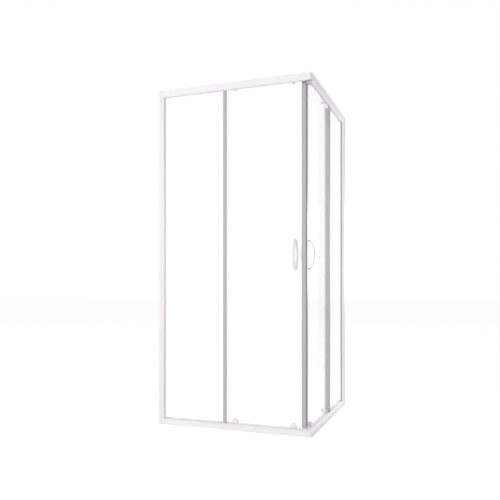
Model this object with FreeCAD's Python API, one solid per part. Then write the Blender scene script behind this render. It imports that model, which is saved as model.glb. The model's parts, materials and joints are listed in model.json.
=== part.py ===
"""Corner shower enclosure with two glazed sides and two sliding doors.

The doors meet at the outer corner and slide away from it, each behind its own fixed pane.
Row frame: origin at the middle of the footprint on the floor, +Z up, millimetres.
The front side faces -Y, the side faces +X, and the two wall profiles are at -X and +Y.

Both sides are the same, so every piece of a side is drawn once, in that side's own frame:
t runs along the side from the outer corner, s runs inwards from its outer face, z is up.
"""

import FreeCAD, Part
import math
import os

from FreeCAD import Vector

os.makedirs("parts", exist_ok=True)

# Overall size
leg_length = 900.0  # each glazed side, from the outer corner to its wall
height = 1900.0
glass_thickness = 5.0
cut_over = 1.0  # how far a cutting tool runs past the face that it cuts

# Aluminium profiles
wall = 1.5
rail_depth = 42.0
glass_setback = 17.0  # outer face of a rail to the outer face of the fixed glass
glass_play = 0.3  # each side of the fixed glass in a rail's groove
edge_round = 2.0
small_round = 1.0
boss_radius = 4.0  # screw channels inside the rails
boss_setback = 7.2
boss_sink = 0.3  # how far a screw channel is let into the wall that carries it

# Top rail
top_face = 38.0
inner_leg_rise = 3.0  # lip of the top rail to the foot of its groove's inner leg
groove_depth = 14.0
glass_head_gap = 1.0
track_rise = 8.0  # underside of the rail to the underside of the track
bead_radius = 1.5
wheel_side_gap = 1.7  # groove leg to the side of a top wheel
track_edge_gap = 0.8  # edge of the track to the roller housings
axle_cover = 6.7  # axle of a top wheel to the lower edge of the back wall

# Bottom rail
bottom_face = 26.0
shoulder_rise = 8.0
shoulder_bulge = 3.2  # how far the round shoulder stands out from a straight slope
bottom_groove_depth = 14.0
guide_width = 2.5
guide_height = 3.5

# Corner joints
corner_size = 36.0
corner_radius = 13.0
joint_wall = 2.5
tongue_length = 30.0
tongue_play = 0.2
tongue_thickness = 9.5
bottom_tongue_height = 22.5
bottom_joint_screw_height = 7.0  # below the doors' seals, which pass it
top_tongue_height = 11.0

# Wall profile, upright and end cap
channel_face = 20.0
profile_depth = 26.5  # wall profile, and the upright in it, from the outer face inwards
upright_reveal = 14.0  # how much of the upright shows beside the wall profile
upright_width = 29.0
profile_play = 0.2
gasket_thickness = 1.0
upright_groove_depth = 16.0
end_cap_height = 64.0
plug_length = 10.0  # how far the plug of a bottom rail's open end goes in
wall_hole_radius = 2.75
wall_hole_inset = 150.0  # lowest and highest wall screw hole to the profile's ends
wall_hole_count = 4

# Frame screws
screw_radius = 1.75
screw_length = 14.0
screw_head_radius = 3.5
screw_head_height = 2.4
screw_play = 0.05
channel_screw_inset = 300.0
channel_screw_count = 3

# Doors
door_gap = 3.0  # inner face of a rail to the outer face of the door glass
door_start = 55.0
door_width = 460.0
door_foot = 12.0
door_head_gap = 1.0
roller_inset = 55.0  # closing edge of the glass to the leading roller
trail_roller_inset = 72.0  # trailing edge of the glass to the trailing roller
top_hole_drop = 12.0
glass_hole_radius = 5.0
run_gap = 0.3  # wheel to the bead or guide that it runs on

# Fixed panes
pane_overlap = 26.0  # closed door's glass to the free edge of the fixed pane, along the side
edge_bite = 14.0  # how far the pane goes into the upright

# Edge seals
seal_wall = 1.8
seal_reach = 16.0
seal_nose = 2.0
fin_thickness = 1.2
fin_offset = 8.0  # end of the seal's nose to its fin
fin_gap = 0.3
fin_rail_gap = 1.5  # fin of a door's seal to the rails above and below
door_seal_foot = 2.0

# Magnetic seals
magnet_seal_cover = 2.0  # seal outside each face of the door glass
magnet_seal_end = 65.0
meeting_gap = 0.35  # half of the gap between the two doors, measured along a side
magnet_width = 6.0
magnet_thickness = 2.0
magnet_start = 50.0
magnet_depth = 47.2
magnet_play = 0.1

# Door handles
handle_inset = 47.5  # closing edge of the glass to the middle of the handles
handle_height = 167.0
handle_center = 955.0
handle_screw_spacing = 150.0
handle_reach = 39.0
handle_width = 14.0
handle_end_reach = 9.0
strap_thickness = 9.0
strap_end_thickness = 6.0
foot_radius = 6.8
handle_round = 1.6
stud_radius = 3.0
stud_depth = 10.0
stud_play = 0.05
spigot_radius = 4.8
spigot_length = 2.4
spigot_gap = 0.5  # end of a roller housing's spigot to the far face of the glass

# Top rollers
top_wheel_width = 6.0
top_groove_radius = 8.0
top_flange = 1.4
top_groove_half_width = 2.2
top_housing_width = 32.0
top_housing_round = 12.0
top_housing_rise = 6.0  # underside of the rail to the underside of the housing
top_spacer = 1.5
spacer_radius = 4.0
spacer_gap = 0.3
axle_radius = 2.5
axle_head_radius = 4.0
axle_head = 1.2
axle_bite = 8.0
axle_play = 0.05

# Cap screws of the rollers
cap_radius = 8.0
cap_height = 6.0
cap_round = 2.0
cap_shank_radius = 3.0
cap_shank_bite = 5.0
cap_play = 0.05

# Bottom rollers
bottom_wheel_width = 5.4
bottom_groove_radius = 5.5
bottom_flange = 2.0
bottom_groove_half_width = 1.6
bottom_housing_width = 34.0
bottom_housing_height = 22.0
bottom_housing_depth = 17.0
bottom_housing_lift = 2.0  # rail to the foot of the housing
housing_wall = 1.4
wheel_play = 0.3
pin_radius = 2.0
pin_play = 0.05
pin_boss_radius = 3.5
pin_boss_length = 0.9
plate_thickness = 2.0
plate_half_width = 7.0
plate_height = 13.5
plate_lift = 2.5  # rail to the foot of the carriage
slide_play = 0.4
release_travel = 3.5
release_margin = 0.5
stem_half_width = 4.0
stem_over = 0.3  # housing to the underside of the finger lip
lip_height = 2.0
lip_half_width = 6.5
arm_length = 5.3
arm_height = 2.0
arm_depth = 6.7
arm_lift = 2.5  # foot of the housing to the underside of an arm
spring_radius = 1.65
spring_wire = 0.35
spring_turns = 4
spring_height = 8.5
bottom_hole_drop = 9.0

# Door stops
stop_length = 12.0
stop_height = 8.5
stop_gap = 1.0
stop_inset = 55.6  # upright to the rear door stop
stop_play = 0.05

# Places that follow from the sizes above
corner = Vector(leg_length / 2, -leg_length / 2, 0)
glass_back = glass_setback + glass_thickness
groove_outer = glass_setback - glass_play
groove_inner = glass_back + glass_play
leg_inner = groove_inner + wall
top_rail_foot = height - top_face
bottom_rail_top = bottom_face + shoulder_rise
upright_start = leg_length - channel_face - upright_reveal
fixed_end = upright_start + edge_bite
door_face = rail_depth + door_gap
door_back = door_face + glass_thickness
door_end = door_start + door_width
fixed_start = door_end - pane_overlap
track_top = top_rail_foot + track_rise + wall
bead_top = track_top + bead_radius
track_plane = leg_inner + wheel_side_gap + top_wheel_width / 2
top_axle_height = bead_top + run_gap + top_groove_radius
back_wall_foot = top_axle_height + axle_cover
door_head = back_wall_foot - door_head_gap
top_housing_face = track_plane + top_wheel_width / 2 + top_spacer
handle_place = door_start + handle_inset
lead_roller = door_start + roller_inset
trail_roller = door_end - trail_roller_inset
rollers = {"lead": lead_roller, "trail": trail_roller}
top_rim = top_groove_radius + top_flange
front_stop = lead_roller - top_rim - stop_gap - stop_length
rear_stop = upright_start - stop_inset - stop_length
door_travel = rear_stop - stop_gap - top_rim - trail_roller
top_hole_height = door_head - top_hole_drop
bottom_housing_face = door_face - bottom_housing_depth
bottom_housing_foot = bottom_rail_top + bottom_housing_lift
bottom_housing_top = bottom_housing_foot + bottom_housing_height
bottom_hole_height = bottom_housing_top - bottom_hole_drop
guide_plane = bottom_housing_face + housing_wall + wheel_play + bottom_wheel_width / 2
guide_top = bottom_rail_top + guide_height
bottom_axle_height = guide_top + run_gap + bottom_groove_radius
bottom_wheel_radius = bottom_groove_radius + bottom_flange
plate_face = guide_plane + bottom_wheel_width / 2 + wheel_play + pin_boss_length
plate_foot = bottom_rail_top + plate_lift
plate_back = plate_face + plate_thickness
low_boss = wall + boss_radius - boss_sink
top_bosses = [
    (boss_setback, top_rail_foot + low_boss),
    (boss_setback, height - low_boss),
]
bottom_bosses = [(boss_setback, low_boss)]


def block(t, s, z):
    """A box between pairs of places along t, s and z."""
    size = [high - low for low, high in (t, s, z)]
    return Part.makeBox(size[0], size[1], size[2], Vector(t[0], s[0], z[0]))


def rod(axis, center, radius, low, high):
    """A round bar along t, s or z, from low to high, through a point of the other two axes."""
    along = {"t": Vector(1, 0, 0), "s": Vector(0, 1, 0), "z": Vector(0, 0, 1)}[axis]
    first, second = center
    foot = {
        "t": Vector(low, first, second),
        "s": Vector(first, low, second),
        "z": Vector(first, second, low),
    }[axis]
    return Part.makeCylinder(radius, high - low, foot, along)


def plan(points, low, high):
    """A prism standing on an outline of (t, s) points."""
    outline = [Vector(t, s, low) for t, s in points]
    face = Part.Face(Part.makePolygon(outline + outline[:1]))
    return face.extrude(Vector(0, 0, high - low))


def revolved(points, center):
    """A ring turned from (radius, s) points about an axis along s, centred at (t, s, z)."""
    outline = [Vector(r, s, 0) for r, s in points]
    face = Part.Face(Part.makePolygon(outline + outline[:1]))
    ring = face.revolve(Vector(0, 0, 0), Vector(0, 1, 0), 360)
    ring.translate(Vector(*center))
    return ring


def joined(shapes):
    """One solid from shapes that overlap or touch."""
    return shapes[0].fuse(shapes[1:]).removeSplitter()


def cut_from(shape, tools):
    """The shape without the tools."""
    return shape.cut(tools)


def rounded(shape, radius, wanted):
    """The shape with a fillet on each edge whose box satisfies wanted."""
    edges = [edge for edge in shape.Edges if wanted(edge.BoundBox)]
    return shape.makeFillet(radius, edges)


def placed(shape, leg):
    """A shape of the side's own frame, moved to the front or the side of the row frame."""
    if leg == "front":
        moved = shape.mirror(Vector(0, 0, 0), Vector(1, 0, 0))
    else:
        moved = shape.copy()
        moved.rotate(Vector(0, 0, 0), Vector(0, 0, 1), 90)
    moved.translate(corner)
    return moved


def screw(place, direction):
    """A pan-head frame screw with the underside of its head at place, driven along direction."""
    back = direction * -screw_head_height
    head = Part.makeCylinder(screw_head_radius, screw_head_height, place + back, direction)
    shank = Part.makeCylinder(screw_radius, screw_length, place, direction)
    return joined([head, shank])


def screw_hole(place, direction):
    """The hole for a frame screw, through the wall under its head and into what holds it."""
    start = place - direction * cut_over
    return Part.makeCylinder(
        screw_radius + screw_play, screw_length + 2 * cut_over, start, direction
    )


def rail_screws():
    """Places and directions of the screws that hold the rails' ends to the upright."""
    inside = upright_start + wall
    return [(Vector(inside, s, z), Vector(-1, 0, 0)) for s, z in top_bosses + bottom_bosses]


def joint_screws():
    """Places and directions of the screws that hold the rails to the corner joints."""
    t = corner_size + tongue_length / 2
    top_z = height - wall - top_tongue_height / 2
    heights = (top_z, bottom_joint_screw_height)
    return [(Vector(t, rail_depth, z), Vector(0, -1, 0)) for z in heights]


def channel_screws():
    """Places and directions of the screws that hold the upright in the wall profile."""
    t = leg_length - channel_face / 2
    step = (height - 2 * channel_screw_inset) / (channel_screw_count - 1)
    heights = [channel_screw_inset + i * step for i in range(channel_screw_count)]
    return [(Vector(t, profile_depth, z), Vector(0, -1, 0)) for z in heights]


def wall_hole_heights():
    """Heights of the wall screw holes, evenly spaced."""
    step = (height - 2 * wall_hole_inset) / (wall_hole_count - 1)
    return [wall_hole_inset + i * step for i in range(wall_hole_count)]


def mitred(rail, low, high):
    """A rail with the inner corner of its end cut back, so that it meets the other rail."""
    over = rail_depth + cut_over
    wedge = [(corner_size, corner_size), (over, over), (corner_size, over)]
    return cut_from(rail, plan(wedge, low - cut_over, high + cut_over))


def bossed(rail, bosses, start, end):
    """A rail with its screw channels added and bored."""
    tubes = [rod("t", place, boss_radius, start, end) for place in bosses]
    bore = screw_radius + screw_play
    bores = [rod("t", place, bore, start - cut_over, end + cut_over) for place in bosses]
    return cut_from(joined([rail] + tubes), bores)


def top_rail():
    """Extruded head rail: face, top, back wall, glass groove and roller track."""
    start, end = corner_size, upright_start
    t = (start, end)
    roof = top_rail_foot + groove_depth
    foot = top_rail_foot
    shell = joined(
        [
            block(t, (0, wall), (foot, height)),
            block(t, (0, rail_depth), (height - wall, height)),
            block(t, (0, groove_outer), (foot, foot + wall)),
        ]
    )
    shell = rounded(
        shell,
        small_round,
        lambda box: box.YMax < wall / 2 and box.XLength > wall and box.ZLength < wall,
    )
    ribs = [
        block(t, (rail_depth - wall, rail_depth), (back_wall_foot, height - wall)),
        block(t, (groove_outer - wall, groove_outer), (foot, roof)),
        block(t, (groove_inner, leg_inner), (foot + inner_leg_rise, roof)),
        block(t, (groove_outer - wall, leg_inner), (roof, roof + wall)),
        block(
            t,
            (leg_inner, top_housing_face - track_edge_gap),
            (track_top - wall, track_top),
        ),
        rod("t", (track_plane, track_top), bead_radius, start, end),
    ]
    rail = bossed(joined([shell] + ribs), top_bosses, start, end)
    rail = mitred(rail, foot, height)
    place, direction = joint_screws()[0]
    return cut_from(rail, screw_hole(place, direction))


def bottom_outline(inset):
    """Outline of the bottom rail in (s, z), inset from its faces: upright face and round shoulder."""
    face = bottom_face - inset / 2
    top = bottom_rail_top - inset
    shoulder = groove_outer - wall
    run, rise = shoulder - inset, top - face
    slope = math.hypot(run, rise)
    middle = Vector(
        0,
        inset + run / 2 - shoulder_bulge * rise / slope,
        face + rise / 2 + shoulder_bulge * run / slope,
    )
    corners = [
        Vector(0, inset, inset),
        Vector(0, rail_depth - inset, inset),
        Vector(0, rail_depth - inset, top),
        Vector(0, shoulder, top),
    ]
    start = Vector(0, inset, face)
    edges = [Part.LineSegment(a, b).toShape() for a, b in zip(corners, corners[1:])]
    edges.append(Part.Arc(corners[-1], middle, start).toShape())
    edges.append(Part.LineSegment(start, corners[0]).toShape())
    return Part.Face(Part.Wire(edges))


def bottom_bar(inset, start, end):
    """The bottom rail's outline drawn out along t."""
    face = bottom_outline(inset)
    face.translate(Vector(start, 0, 0))
    return face.extrude(Vector(end - start, 0, 0))


def bottom_rail():
    """Extruded sill rail: hollow body, glass groove and the guide rib of the bottom rollers."""
    start, end = corner_size, upright_start
    t = (start, end)
    hollow = bottom_bar(wall, start - cut_over, end + cut_over)
    floor = bottom_rail_top - bottom_groove_depth
    shell = cut_from(bottom_bar(0, start, end), hollow)
    ribs = [
        block(t, (groove_outer - wall, leg_inner), (floor - wall, bottom_rail_top)),
        block(
            t,
            (guide_plane - guide_width / 2, guide_plane + guide_width / 2),
            (bottom_rail_top - wall, guide_top),
        ),
    ]
    rail = bossed(joined([shell] + ribs), bottom_bosses, start, end)
    slot = block(
        (start - cut_over, end + cut_over),
        (groove_outer, groove_inner),
        (floor, bottom_rail_top + cut_over),
    )
    rail = mitred(cut_from(rail, slot), 0, guide_top)
    place, direction = joint_screws()[1]
    return cut_from(rail, screw_hole(place, direction))


def corner_column(inset, low, high):
    """A square column at the outer corner, with its outer edge rounded."""
    radius = corner_radius - inset
    column = block((inset, corner_size - inset), (inset, corner_size - inset), (low, high))
    if radius <= 0:
        return column
    reach = 3 * inset + radius
    return rounded(
        column, radius, lambda box: box.ZLength > radius and box.XMax + box.YMax < reach
    )


def joint_tongue(low, high):
    """The tongue of a corner joint that goes into one rail."""
    inner = corner_size - joint_wall / 2
    outer = inner - tongue_thickness
    end = corner_size + tongue_length
    return block((corner_size - joint_wall, end), (outer, inner), (low, high))


def both_tongues(tongue, hole):
    """A bored tongue for the front rail and its mirror image for the side rail."""
    bored = cut_from(tongue, hole)
    return [placed(bored, "front"), placed(bored, "side")]


def in_row(shape):
    """A shape that is alike on both sides, moved to the row frame."""
    return placed(shape, "front")


def top_corner_joint():
    """Moulded joint of the two head rails: a shell open below, with a tongue for each rail."""
    outer = corner_column(0, top_rail_foot, height)
    pocket = corner_column(joint_wall, top_rail_foot - cut_over, height - joint_wall)
    shell = cut_from(outer, pocket)
    shell = rounded(
        shell,
        small_round,
        lambda box: box.ZMin > height - wall and min(box.XMin, box.YMin) < wall / 2,
    )
    high = height - wall - tongue_play
    tongue = joint_tongue(high - top_tongue_height, high)
    place, direction = joint_screws()[0]
    return joined([in_row(shell)] + both_tongues(tongue, screw_hole(place, direction)))


def bottom_corner_joint():
    """Moulded joint of the two sill rails, with their round shoulder on both faces."""
    bar = bottom_bar(0, 0, corner_size)
    crossed = bottom_bar(0, 0, corner_size)
    crossed = crossed.mirror(Vector(0, 0, 0), Vector(1, -1, 0))
    outer = bar.common(crossed).common(corner_column(0, 0, bottom_rail_top))
    pocket = corner_column(joint_wall, -cut_over, bottom_face - joint_wall)
    shell = cut_from(outer, pocket)
    low = wall + tongue_play
    tongue = joint_tongue(low, low + bottom_tongue_height)
    place, direction = joint_screws()[1]
    return joined([in_row(shell)] + both_tongues(tongue, screw_hole(place, direction)))


def wall_profile():
    """Extruded channel that is screwed to the wall and takes the upright."""
    start = leg_length - channel_face
    top = height - end_cap_height
    t = (start, leg_length)
    channel = joined(
        [
            block((leg_length - wall, leg_length), (0, profile_depth), (0, top)),
            block(t, (0, wall), (0, top)),
            block(t, (profile_depth - wall, profile_depth), (0, top)),
        ]
    )
    web = (leg_length - wall - cut_over, leg_length + cut_over)
    place = profile_depth / 2
    holes = [rod("t", (place, z), wall_hole_radius, web[0], web[1]) for z in lower_holes()]
    holes += [screw_hole(place, direction) for place, direction in channel_screws()]
    return cut_from(channel, holes)


def lower_holes():
    """Heights of the wall screw holes in the channel below the end cap."""
    return [z for z in wall_hole_heights() if z < height - end_cap_height]


def end_cap():
    """Moulded cap of the wall profile, which also covers the ends of the upright and the top rail."""
    low = height - end_cap_height
    start = leg_length - channel_face
    t = (start, leg_length)
    lid = block((upright_start, leg_length), (0, profile_depth), (height - wall, height))
    pieces = [
        lid,
        block((leg_length - wall, leg_length), (0, profile_depth), (low, height - wall)),
        block(t, (0, wall), (low, height - wall)),
        block(t, (profile_depth - wall, profile_depth), (low, height - wall)),
        block(
            (upright_start, upright_start + wall),
            (profile_depth - wall, rail_depth),
            (track_top - wall, height),
        ),
    ]
    web = (leg_length - wall - cut_over, leg_length + cut_over)
    upper = [z for z in wall_hole_heights() if z > low]
    place = profile_depth / 2
    tools = [rod("t", (place, z), wall_hole_radius, web[0], web[1]) for z in upper]
    return cut_from(joined(pieces), tools) if tools else joined(pieces)


def rail_plug():
    """Moulded plug in the open end of the bottom rail, beside the upright."""
    end = upright_start + wall
    play = wall + tongue_play
    plate = block((upright_start, end), (profile_depth - wall, rail_depth), (0, bottom_rail_top))
    insert = block(
        (upright_start - plug_length, end),
        (leg_inner + tongue_play, rail_depth - play),
        (play, bottom_rail_top - play),
    )
    room = block(
        (upright_start, end + cut_over),
        (0, profile_depth - wall),
        (-cut_over, height),
    )
    return cut_from(joined([plate, insert]), room)


def upright():
    """Extruded upright in the wall profile, with the groove that holds the fixed glass."""
    low_s = wall + profile_play
    high_s = profile_depth - wall - profile_play
    start, end = upright_start, upright_start + upright_width
    top = height - wall
    groove = (glass_setback - gasket_thickness, glass_back + gasket_thickness)
    floor = start + upright_groove_depth
    shell = cut_from(
        block((start, end), (low_s, high_s), (0, top)),
        block(
            (start + wall, end - wall),
            (low_s + wall, high_s - wall),
            (-cut_over, top + cut_over),
        ),
    )
    liner = block(
        (start + wall / 2, floor + wall), (groove[0] - wall, groove[1] + wall), (0, top)
    )
    slot = block((start - cut_over, floor), groove, (-cut_over, top + cut_over))
    body = cut_from(joined([shell, liner]), slot)
    head_way = screw_head_radius + screw_play
    access = [
        rod("t", (place.y, place.z), head_way, end - wall - cut_over, end + cut_over)
        for place, _ in rail_screws()
    ]
    holes = [screw_hole(place, direction) for place, direction in rail_screws()]
    holes += [screw_hole(place, direction) for place, direction in channel_screws()]
    return cut_from(body, access + holes)


def fixed_glass():
    """Fixed pane, held by the grooves of both rails and the upright."""
    floor = bottom_rail_top - bottom_groove_depth
    head = top_rail_foot + groove_depth - glass_head_gap
    return block((fixed_start, fixed_end), (glass_setback, glass_back), (floor, head))


def glazing_gasket():
    """Soft U strip round the fixed pane's edge in the upright."""
    z = (bottom_rail_top, top_rail_foot)
    web = upright_start + upright_groove_depth
    outer = (glass_setback - gasket_thickness, glass_back + gasket_thickness)
    strip = block((upright_start + wall, web), outer, z)
    pane = (glass_setback, glass_back)
    room = (z[0] - cut_over, z[1] + cut_over)
    return cut_from(strip, block((upright_start, fixed_end), pane, room))


def groove_filler():
    """Strip that closes the sill rail's glass groove where the door stands."""
    play = glass_play / 3
    start = corner_size
    end = fixed_start - seal_nose
    floor = bottom_rail_top - bottom_groove_depth
    s = (groove_outer + play, groove_inner - play)
    bar = block((start, end), s, (floor, bottom_rail_top))
    room = (s[0] + wall, s[1] - wall)
    return cut_from(
        bar,
        block((start - cut_over, end + cut_over), room, (floor - cut_over, bottom_rail_top - wall)),
    )


def fixed_seal():
    """Clip-on strip at the fixed pane's free edge."""
    z = (bottom_rail_top, top_rail_foot)
    nose = fixed_start - seal_nose
    end = nose + seal_nose + seal_reach
    return cut_from(
        block((nose, end), (glass_setback - seal_wall, glass_back + seal_wall), z),
        block(
            (fixed_start, end + cut_over),
            (glass_setback, glass_back),
            (z[0] - cut_over, z[1] + cut_over),
        ),
    )


def door_glass():
    """Sliding pane with holes for the handle and the four rollers."""
    pane = block((door_start, door_end), (door_face, door_back), (door_foot, door_head))
    low, high = door_face - cut_over, door_back + cut_over
    places = [(handle_place, z) for z in handle_screw_heights()]
    places += [(t, top_hole_height) for t in rollers.values()]
    places += [(t, bottom_hole_height) for t in rollers.values()]
    holes = [rod("s", place, glass_hole_radius, low, high) for place in places]
    return cut_from(pane, holes)


def door_seal():
    """Clip-on strip at the door's trailing edge, with a fin towards the fixed pane."""
    z = (door_foot + door_seal_foot, door_head)
    start = door_end - seal_reach - seal_nose
    end = door_end + seal_nose
    clip = cut_from(
        block((start, end), (door_face - seal_wall, door_back + seal_wall), z),
        block(
            (start - cut_over, door_end),
            (door_face, door_back),
            (z[0] - cut_over, z[1] + cut_over),
        ),
    )
    fin_start = end - fin_offset - fin_thickness
    fin = block(
        (fin_start, fin_start + fin_thickness),
        (glass_back + fin_gap, door_face),
        (guide_top + fin_rail_gap, top_rail_foot - fin_rail_gap),
    )
    return joined([clip, fin])


def magnet_tool(play):
    """The bar that a magnetic seal holds, parallel to the plane where the doors meet."""
    half_width = magnet_width / 2 + play
    half_thickness = magnet_thickness / 2 + play
    z = (door_foot + door_seal_foot, door_head)
    bar = block((-half_thickness, half_thickness), (-half_width, half_width), z)
    bar.rotate(Vector(0, 0, 0), Vector(0, 0, 1), -45)
    bar.translate(Vector(magnet_start, magnet_depth, 0))
    return bar


def magnet_seal():
    """Seal at the door's closing edge, mitred so that the two doors meet at the corner."""
    outer = door_face - magnet_seal_cover
    inner = door_back + magnet_seal_cover
    z = (door_foot + door_seal_foot, door_head)
    outline = [
        (outer + meeting_gap, outer),
        (magnet_seal_end, outer),
        (magnet_seal_end, inner),
        (inner + meeting_gap, inner),
    ]
    body = plan(outline, z[0], z[1])
    room = (z[0] - cut_over, z[1] + cut_over)
    pane = block((door_start, magnet_seal_end + cut_over), (door_face, door_back), room)
    return cut_from(body, [pane, magnet_tool(magnet_play)])


def handle_screw_heights():
    """Heights of the two studs of the door handles."""
    half = handle_screw_spacing / 2
    return [handle_center - half, handle_center + half]


def handle():
    """Bow handle standing out along -s from the plane s = 0, centred on t = 0 and z = 0."""
    end = handle_height / 2
    outer_end = -handle_end_reach
    inner_end = outer_end + strap_end_thickness
    inner_middle = strap_thickness - handle_reach
    top_out, low_out = Vector(0, outer_end, end), Vector(0, outer_end, -end)
    top_in, low_in = Vector(0, inner_end, end), Vector(0, inner_end, -end)
    edges = [
        Part.Arc(low_out, Vector(0, -handle_reach, 0), top_out).toShape(),
        Part.LineSegment(top_out, top_in).toShape(),
        Part.Arc(top_in, Vector(0, inner_middle, 0), low_in).toShape(),
        Part.LineSegment(low_in, low_out).toShape(),
    ]
    band = Part.Face(Part.Wire(edges))
    band.translate(Vector(-handle_width / 2, 0, 0))
    strap = band.extrude(Vector(handle_width, 0, 0))
    half = handle_width / 2
    depth = (-handle_reach - cut_over, 0)
    pill = joined(
        [
            block((-half, half), depth, (half - end, end - half)),
            rod("s", (0, end - half), half, depth[0], depth[1]),
            rod("s", (0, half - end), half, depth[0], depth[1]),
        ]
    )
    strap = strap.common(pill)
    strap = strap.makeFillet(handle_round, strap.Edges)
    top_foot, low_foot = Vector(0, 0, end), Vector(0, 0, -end)
    edges = [
        Part.Arc(low_out, Vector(0, -handle_reach, 0), top_out).toShape(),
        Part.LineSegment(top_out, top_foot).toShape(),
        Part.LineSegment(top_foot, low_foot).toShape(),
        Part.LineSegment(low_foot, low_out).toShape(),
    ]
    below = Part.Face(Part.Wire(edges))
    below.translate(Vector(-half, handle_round, 0))
    below = below.extrude(Vector(handle_width, 0, 0))
    spread = handle_screw_spacing / 2
    feet = []
    bores = []
    for z in (-spread, spread):
        feet.append(rod("s", (0, z), foot_radius, -handle_reach, 0).common(below))
        feet.append(rod("s", (0, z), spigot_radius, -spigot_length, spigot_length))
        bores.append(rod("s", (0, z), stud_radius + stud_play, -stud_depth, spigot_length + cut_over))
    return cut_from(joined([strap] + feet), bores)


def outer_handle():
    """The handle outside the door."""
    grip = handle()
    grip.translate(Vector(handle_place, door_face, handle_center))
    return grip


def inner_handle():
    """The handle inside the door."""
    grip = handle().mirror(Vector(0, 0, 0), Vector(0, 1, 0))
    grip.translate(Vector(handle_place, door_back, handle_center))
    return grip


def handle_studs():
    """Threaded studs that draw the two handles together through the glass."""
    low = door_face - stud_depth + stud_play
    high = door_back + stud_depth - stud_play
    return [rod("s", (handle_place, z), stud_radius, low, high) for z in handle_screw_heights()]


def top_housing(t):
    """Bracket that carries a top wheel, bolted to the door glass."""
    half = top_housing_width / 2
    foot = top_rail_foot + top_housing_rise
    s = (top_housing_face, door_face)
    body = block((t - half, t + half), s, (foot, door_head))
    body = rounded(
        body,
        top_housing_round,
        lambda box: box.ZMax < foot + wall and box.YLength > wall and box.XLength < wall,
    )
    face = track_plane + top_wheel_width / 2 + spacer_gap
    extra = [
        rod("s", (t, top_axle_height), spacer_radius, face, s[0]),
        rod("s", (t, top_hole_height), spigot_radius, s[1], door_back - spigot_gap),
    ]
    tools = [
        rod("s", (t, top_axle_height), axle_radius + axle_play, face - cut_over, s[0] + axle_bite),
        cap_bore(t, top_hole_height),
    ]
    return cut_from(joined([body] + extra), tools)


def cap_bore(t, z):
    """The bore of a housing for its cap screw."""
    start = door_face - cap_shank_bite - cap_play
    return rod("s", (t, z), cap_shank_radius + cap_play, start, door_back + cut_over)


def top_axle(t):
    """Headed pin that a top wheel turns on."""
    low = track_plane - top_wheel_width / 2 - wheel_play
    head = rod("s", (t, top_axle_height), axle_head_radius, low - axle_head, low)
    shank = rod("s", (t, top_axle_height), axle_radius, low, top_housing_face + axle_bite - axle_play)
    return joined([head, shank])


def top_wheel(t):
    """Grooved wheel that runs on the bead of the head rail."""
    half = top_wheel_width / 2
    bore = axle_radius + axle_play
    low_lip = Vector(top_rim, -top_groove_half_width, 0)
    high_lip = Vector(top_rim, top_groove_half_width, 0)
    corners = [
        high_lip,
        Vector(top_rim, half, 0),
        Vector(bore, half, 0),
        Vector(bore, -half, 0),
        Vector(top_rim, -half, 0),
        low_lip,
    ]
    edges = [Part.LineSegment(a, b).toShape() for a, b in zip(corners, corners[1:])]
    edges.append(Part.Arc(low_lip, Vector(top_groove_radius, 0, 0), high_lip).toShape())
    wheel = Part.Face(Part.Wire(edges)).revolve(Vector(0, 0, 0), Vector(0, 1, 0), 360)
    wheel.translate(Vector(t, track_plane, top_axle_height))
    return wheel


def cap_screw(t, z):
    """Screw with a round cap that holds a roller housing from inside the glass."""
    cap = rod("s", (t, z), cap_radius, door_back, door_back + cap_height)
    cap = rounded(cap, cap_round, lambda box: box.YMin > door_back + wall)
    shank = rod("s", (t, z), cap_shank_radius, door_face - cap_shank_bite, door_back)
    return joined([cap, shank])


def bottom_housing(t):
    """Arched housing of a bottom roller, open below, with a slot for the release carriage."""
    half = bottom_housing_width / 2
    foot, top = bottom_housing_foot, bottom_housing_top
    s = (bottom_housing_face, door_face)
    arch = top - half
    body = joined(
        [
            block((t - half, t + half), s, (foot, arch)),
            rod("s", (t, arch), half, s[0], s[1]),
        ]
    )
    body = body.common(block((t - half, t + half), s, (foot, top)))
    body = rounded(body, edge_round, lambda box: box.YMax < s[0] + wall and box.ZMax > foot + wall)
    spigot = rod("s", (t, bottom_hole_height), spigot_radius, s[1], door_back - spigot_gap)
    room = bottom_wheel_radius + release_margin
    wheel_s = (s[0] + housing_wall, plate_face)
    peak = bottom_axle_height + release_travel
    plate_s = (wheel_s[1] - cut_over / 2, plate_back + slide_play)
    pocket_half = plate_half_width + arm_length + slide_play
    arm_top = foot + arm_lift + arm_height
    slot_top = plate_foot + plate_height + release_travel + release_margin
    slot_half = plate_half_width + slide_play
    stem_half = stem_half_width + slide_play
    below = foot - cut_over
    guide_half = guide_width / 2 + slide_play
    tools = [
        block((t - room, t + room), wheel_s, (below, peak)),
        rod("s", (t, peak), room, wheel_s[0], wheel_s[1]),
        block((t - slot_half, t + slot_half), plate_s, (below, slot_top)),
        block((t - stem_half, t + stem_half), plate_s, (below, top + cut_over)),
        block(
            (t - half - cut_over, t + half + cut_over),
            (guide_plane - guide_half, guide_plane + guide_half),
            (below, guide_top + slide_play),
        ),
        cap_bore(t, bottom_hole_height),
    ]
    for side in (-1, 1):
        ends = sorted([t + side * plate_half_width, t + side * pocket_half])
        pocket = (plate_s[0], plate_face + arm_depth + slide_play)
        tools.append(block(ends, pocket, (below, arm_top + spring_height)))
    return cut_from(joined([body, spigot]), tools)


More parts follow.
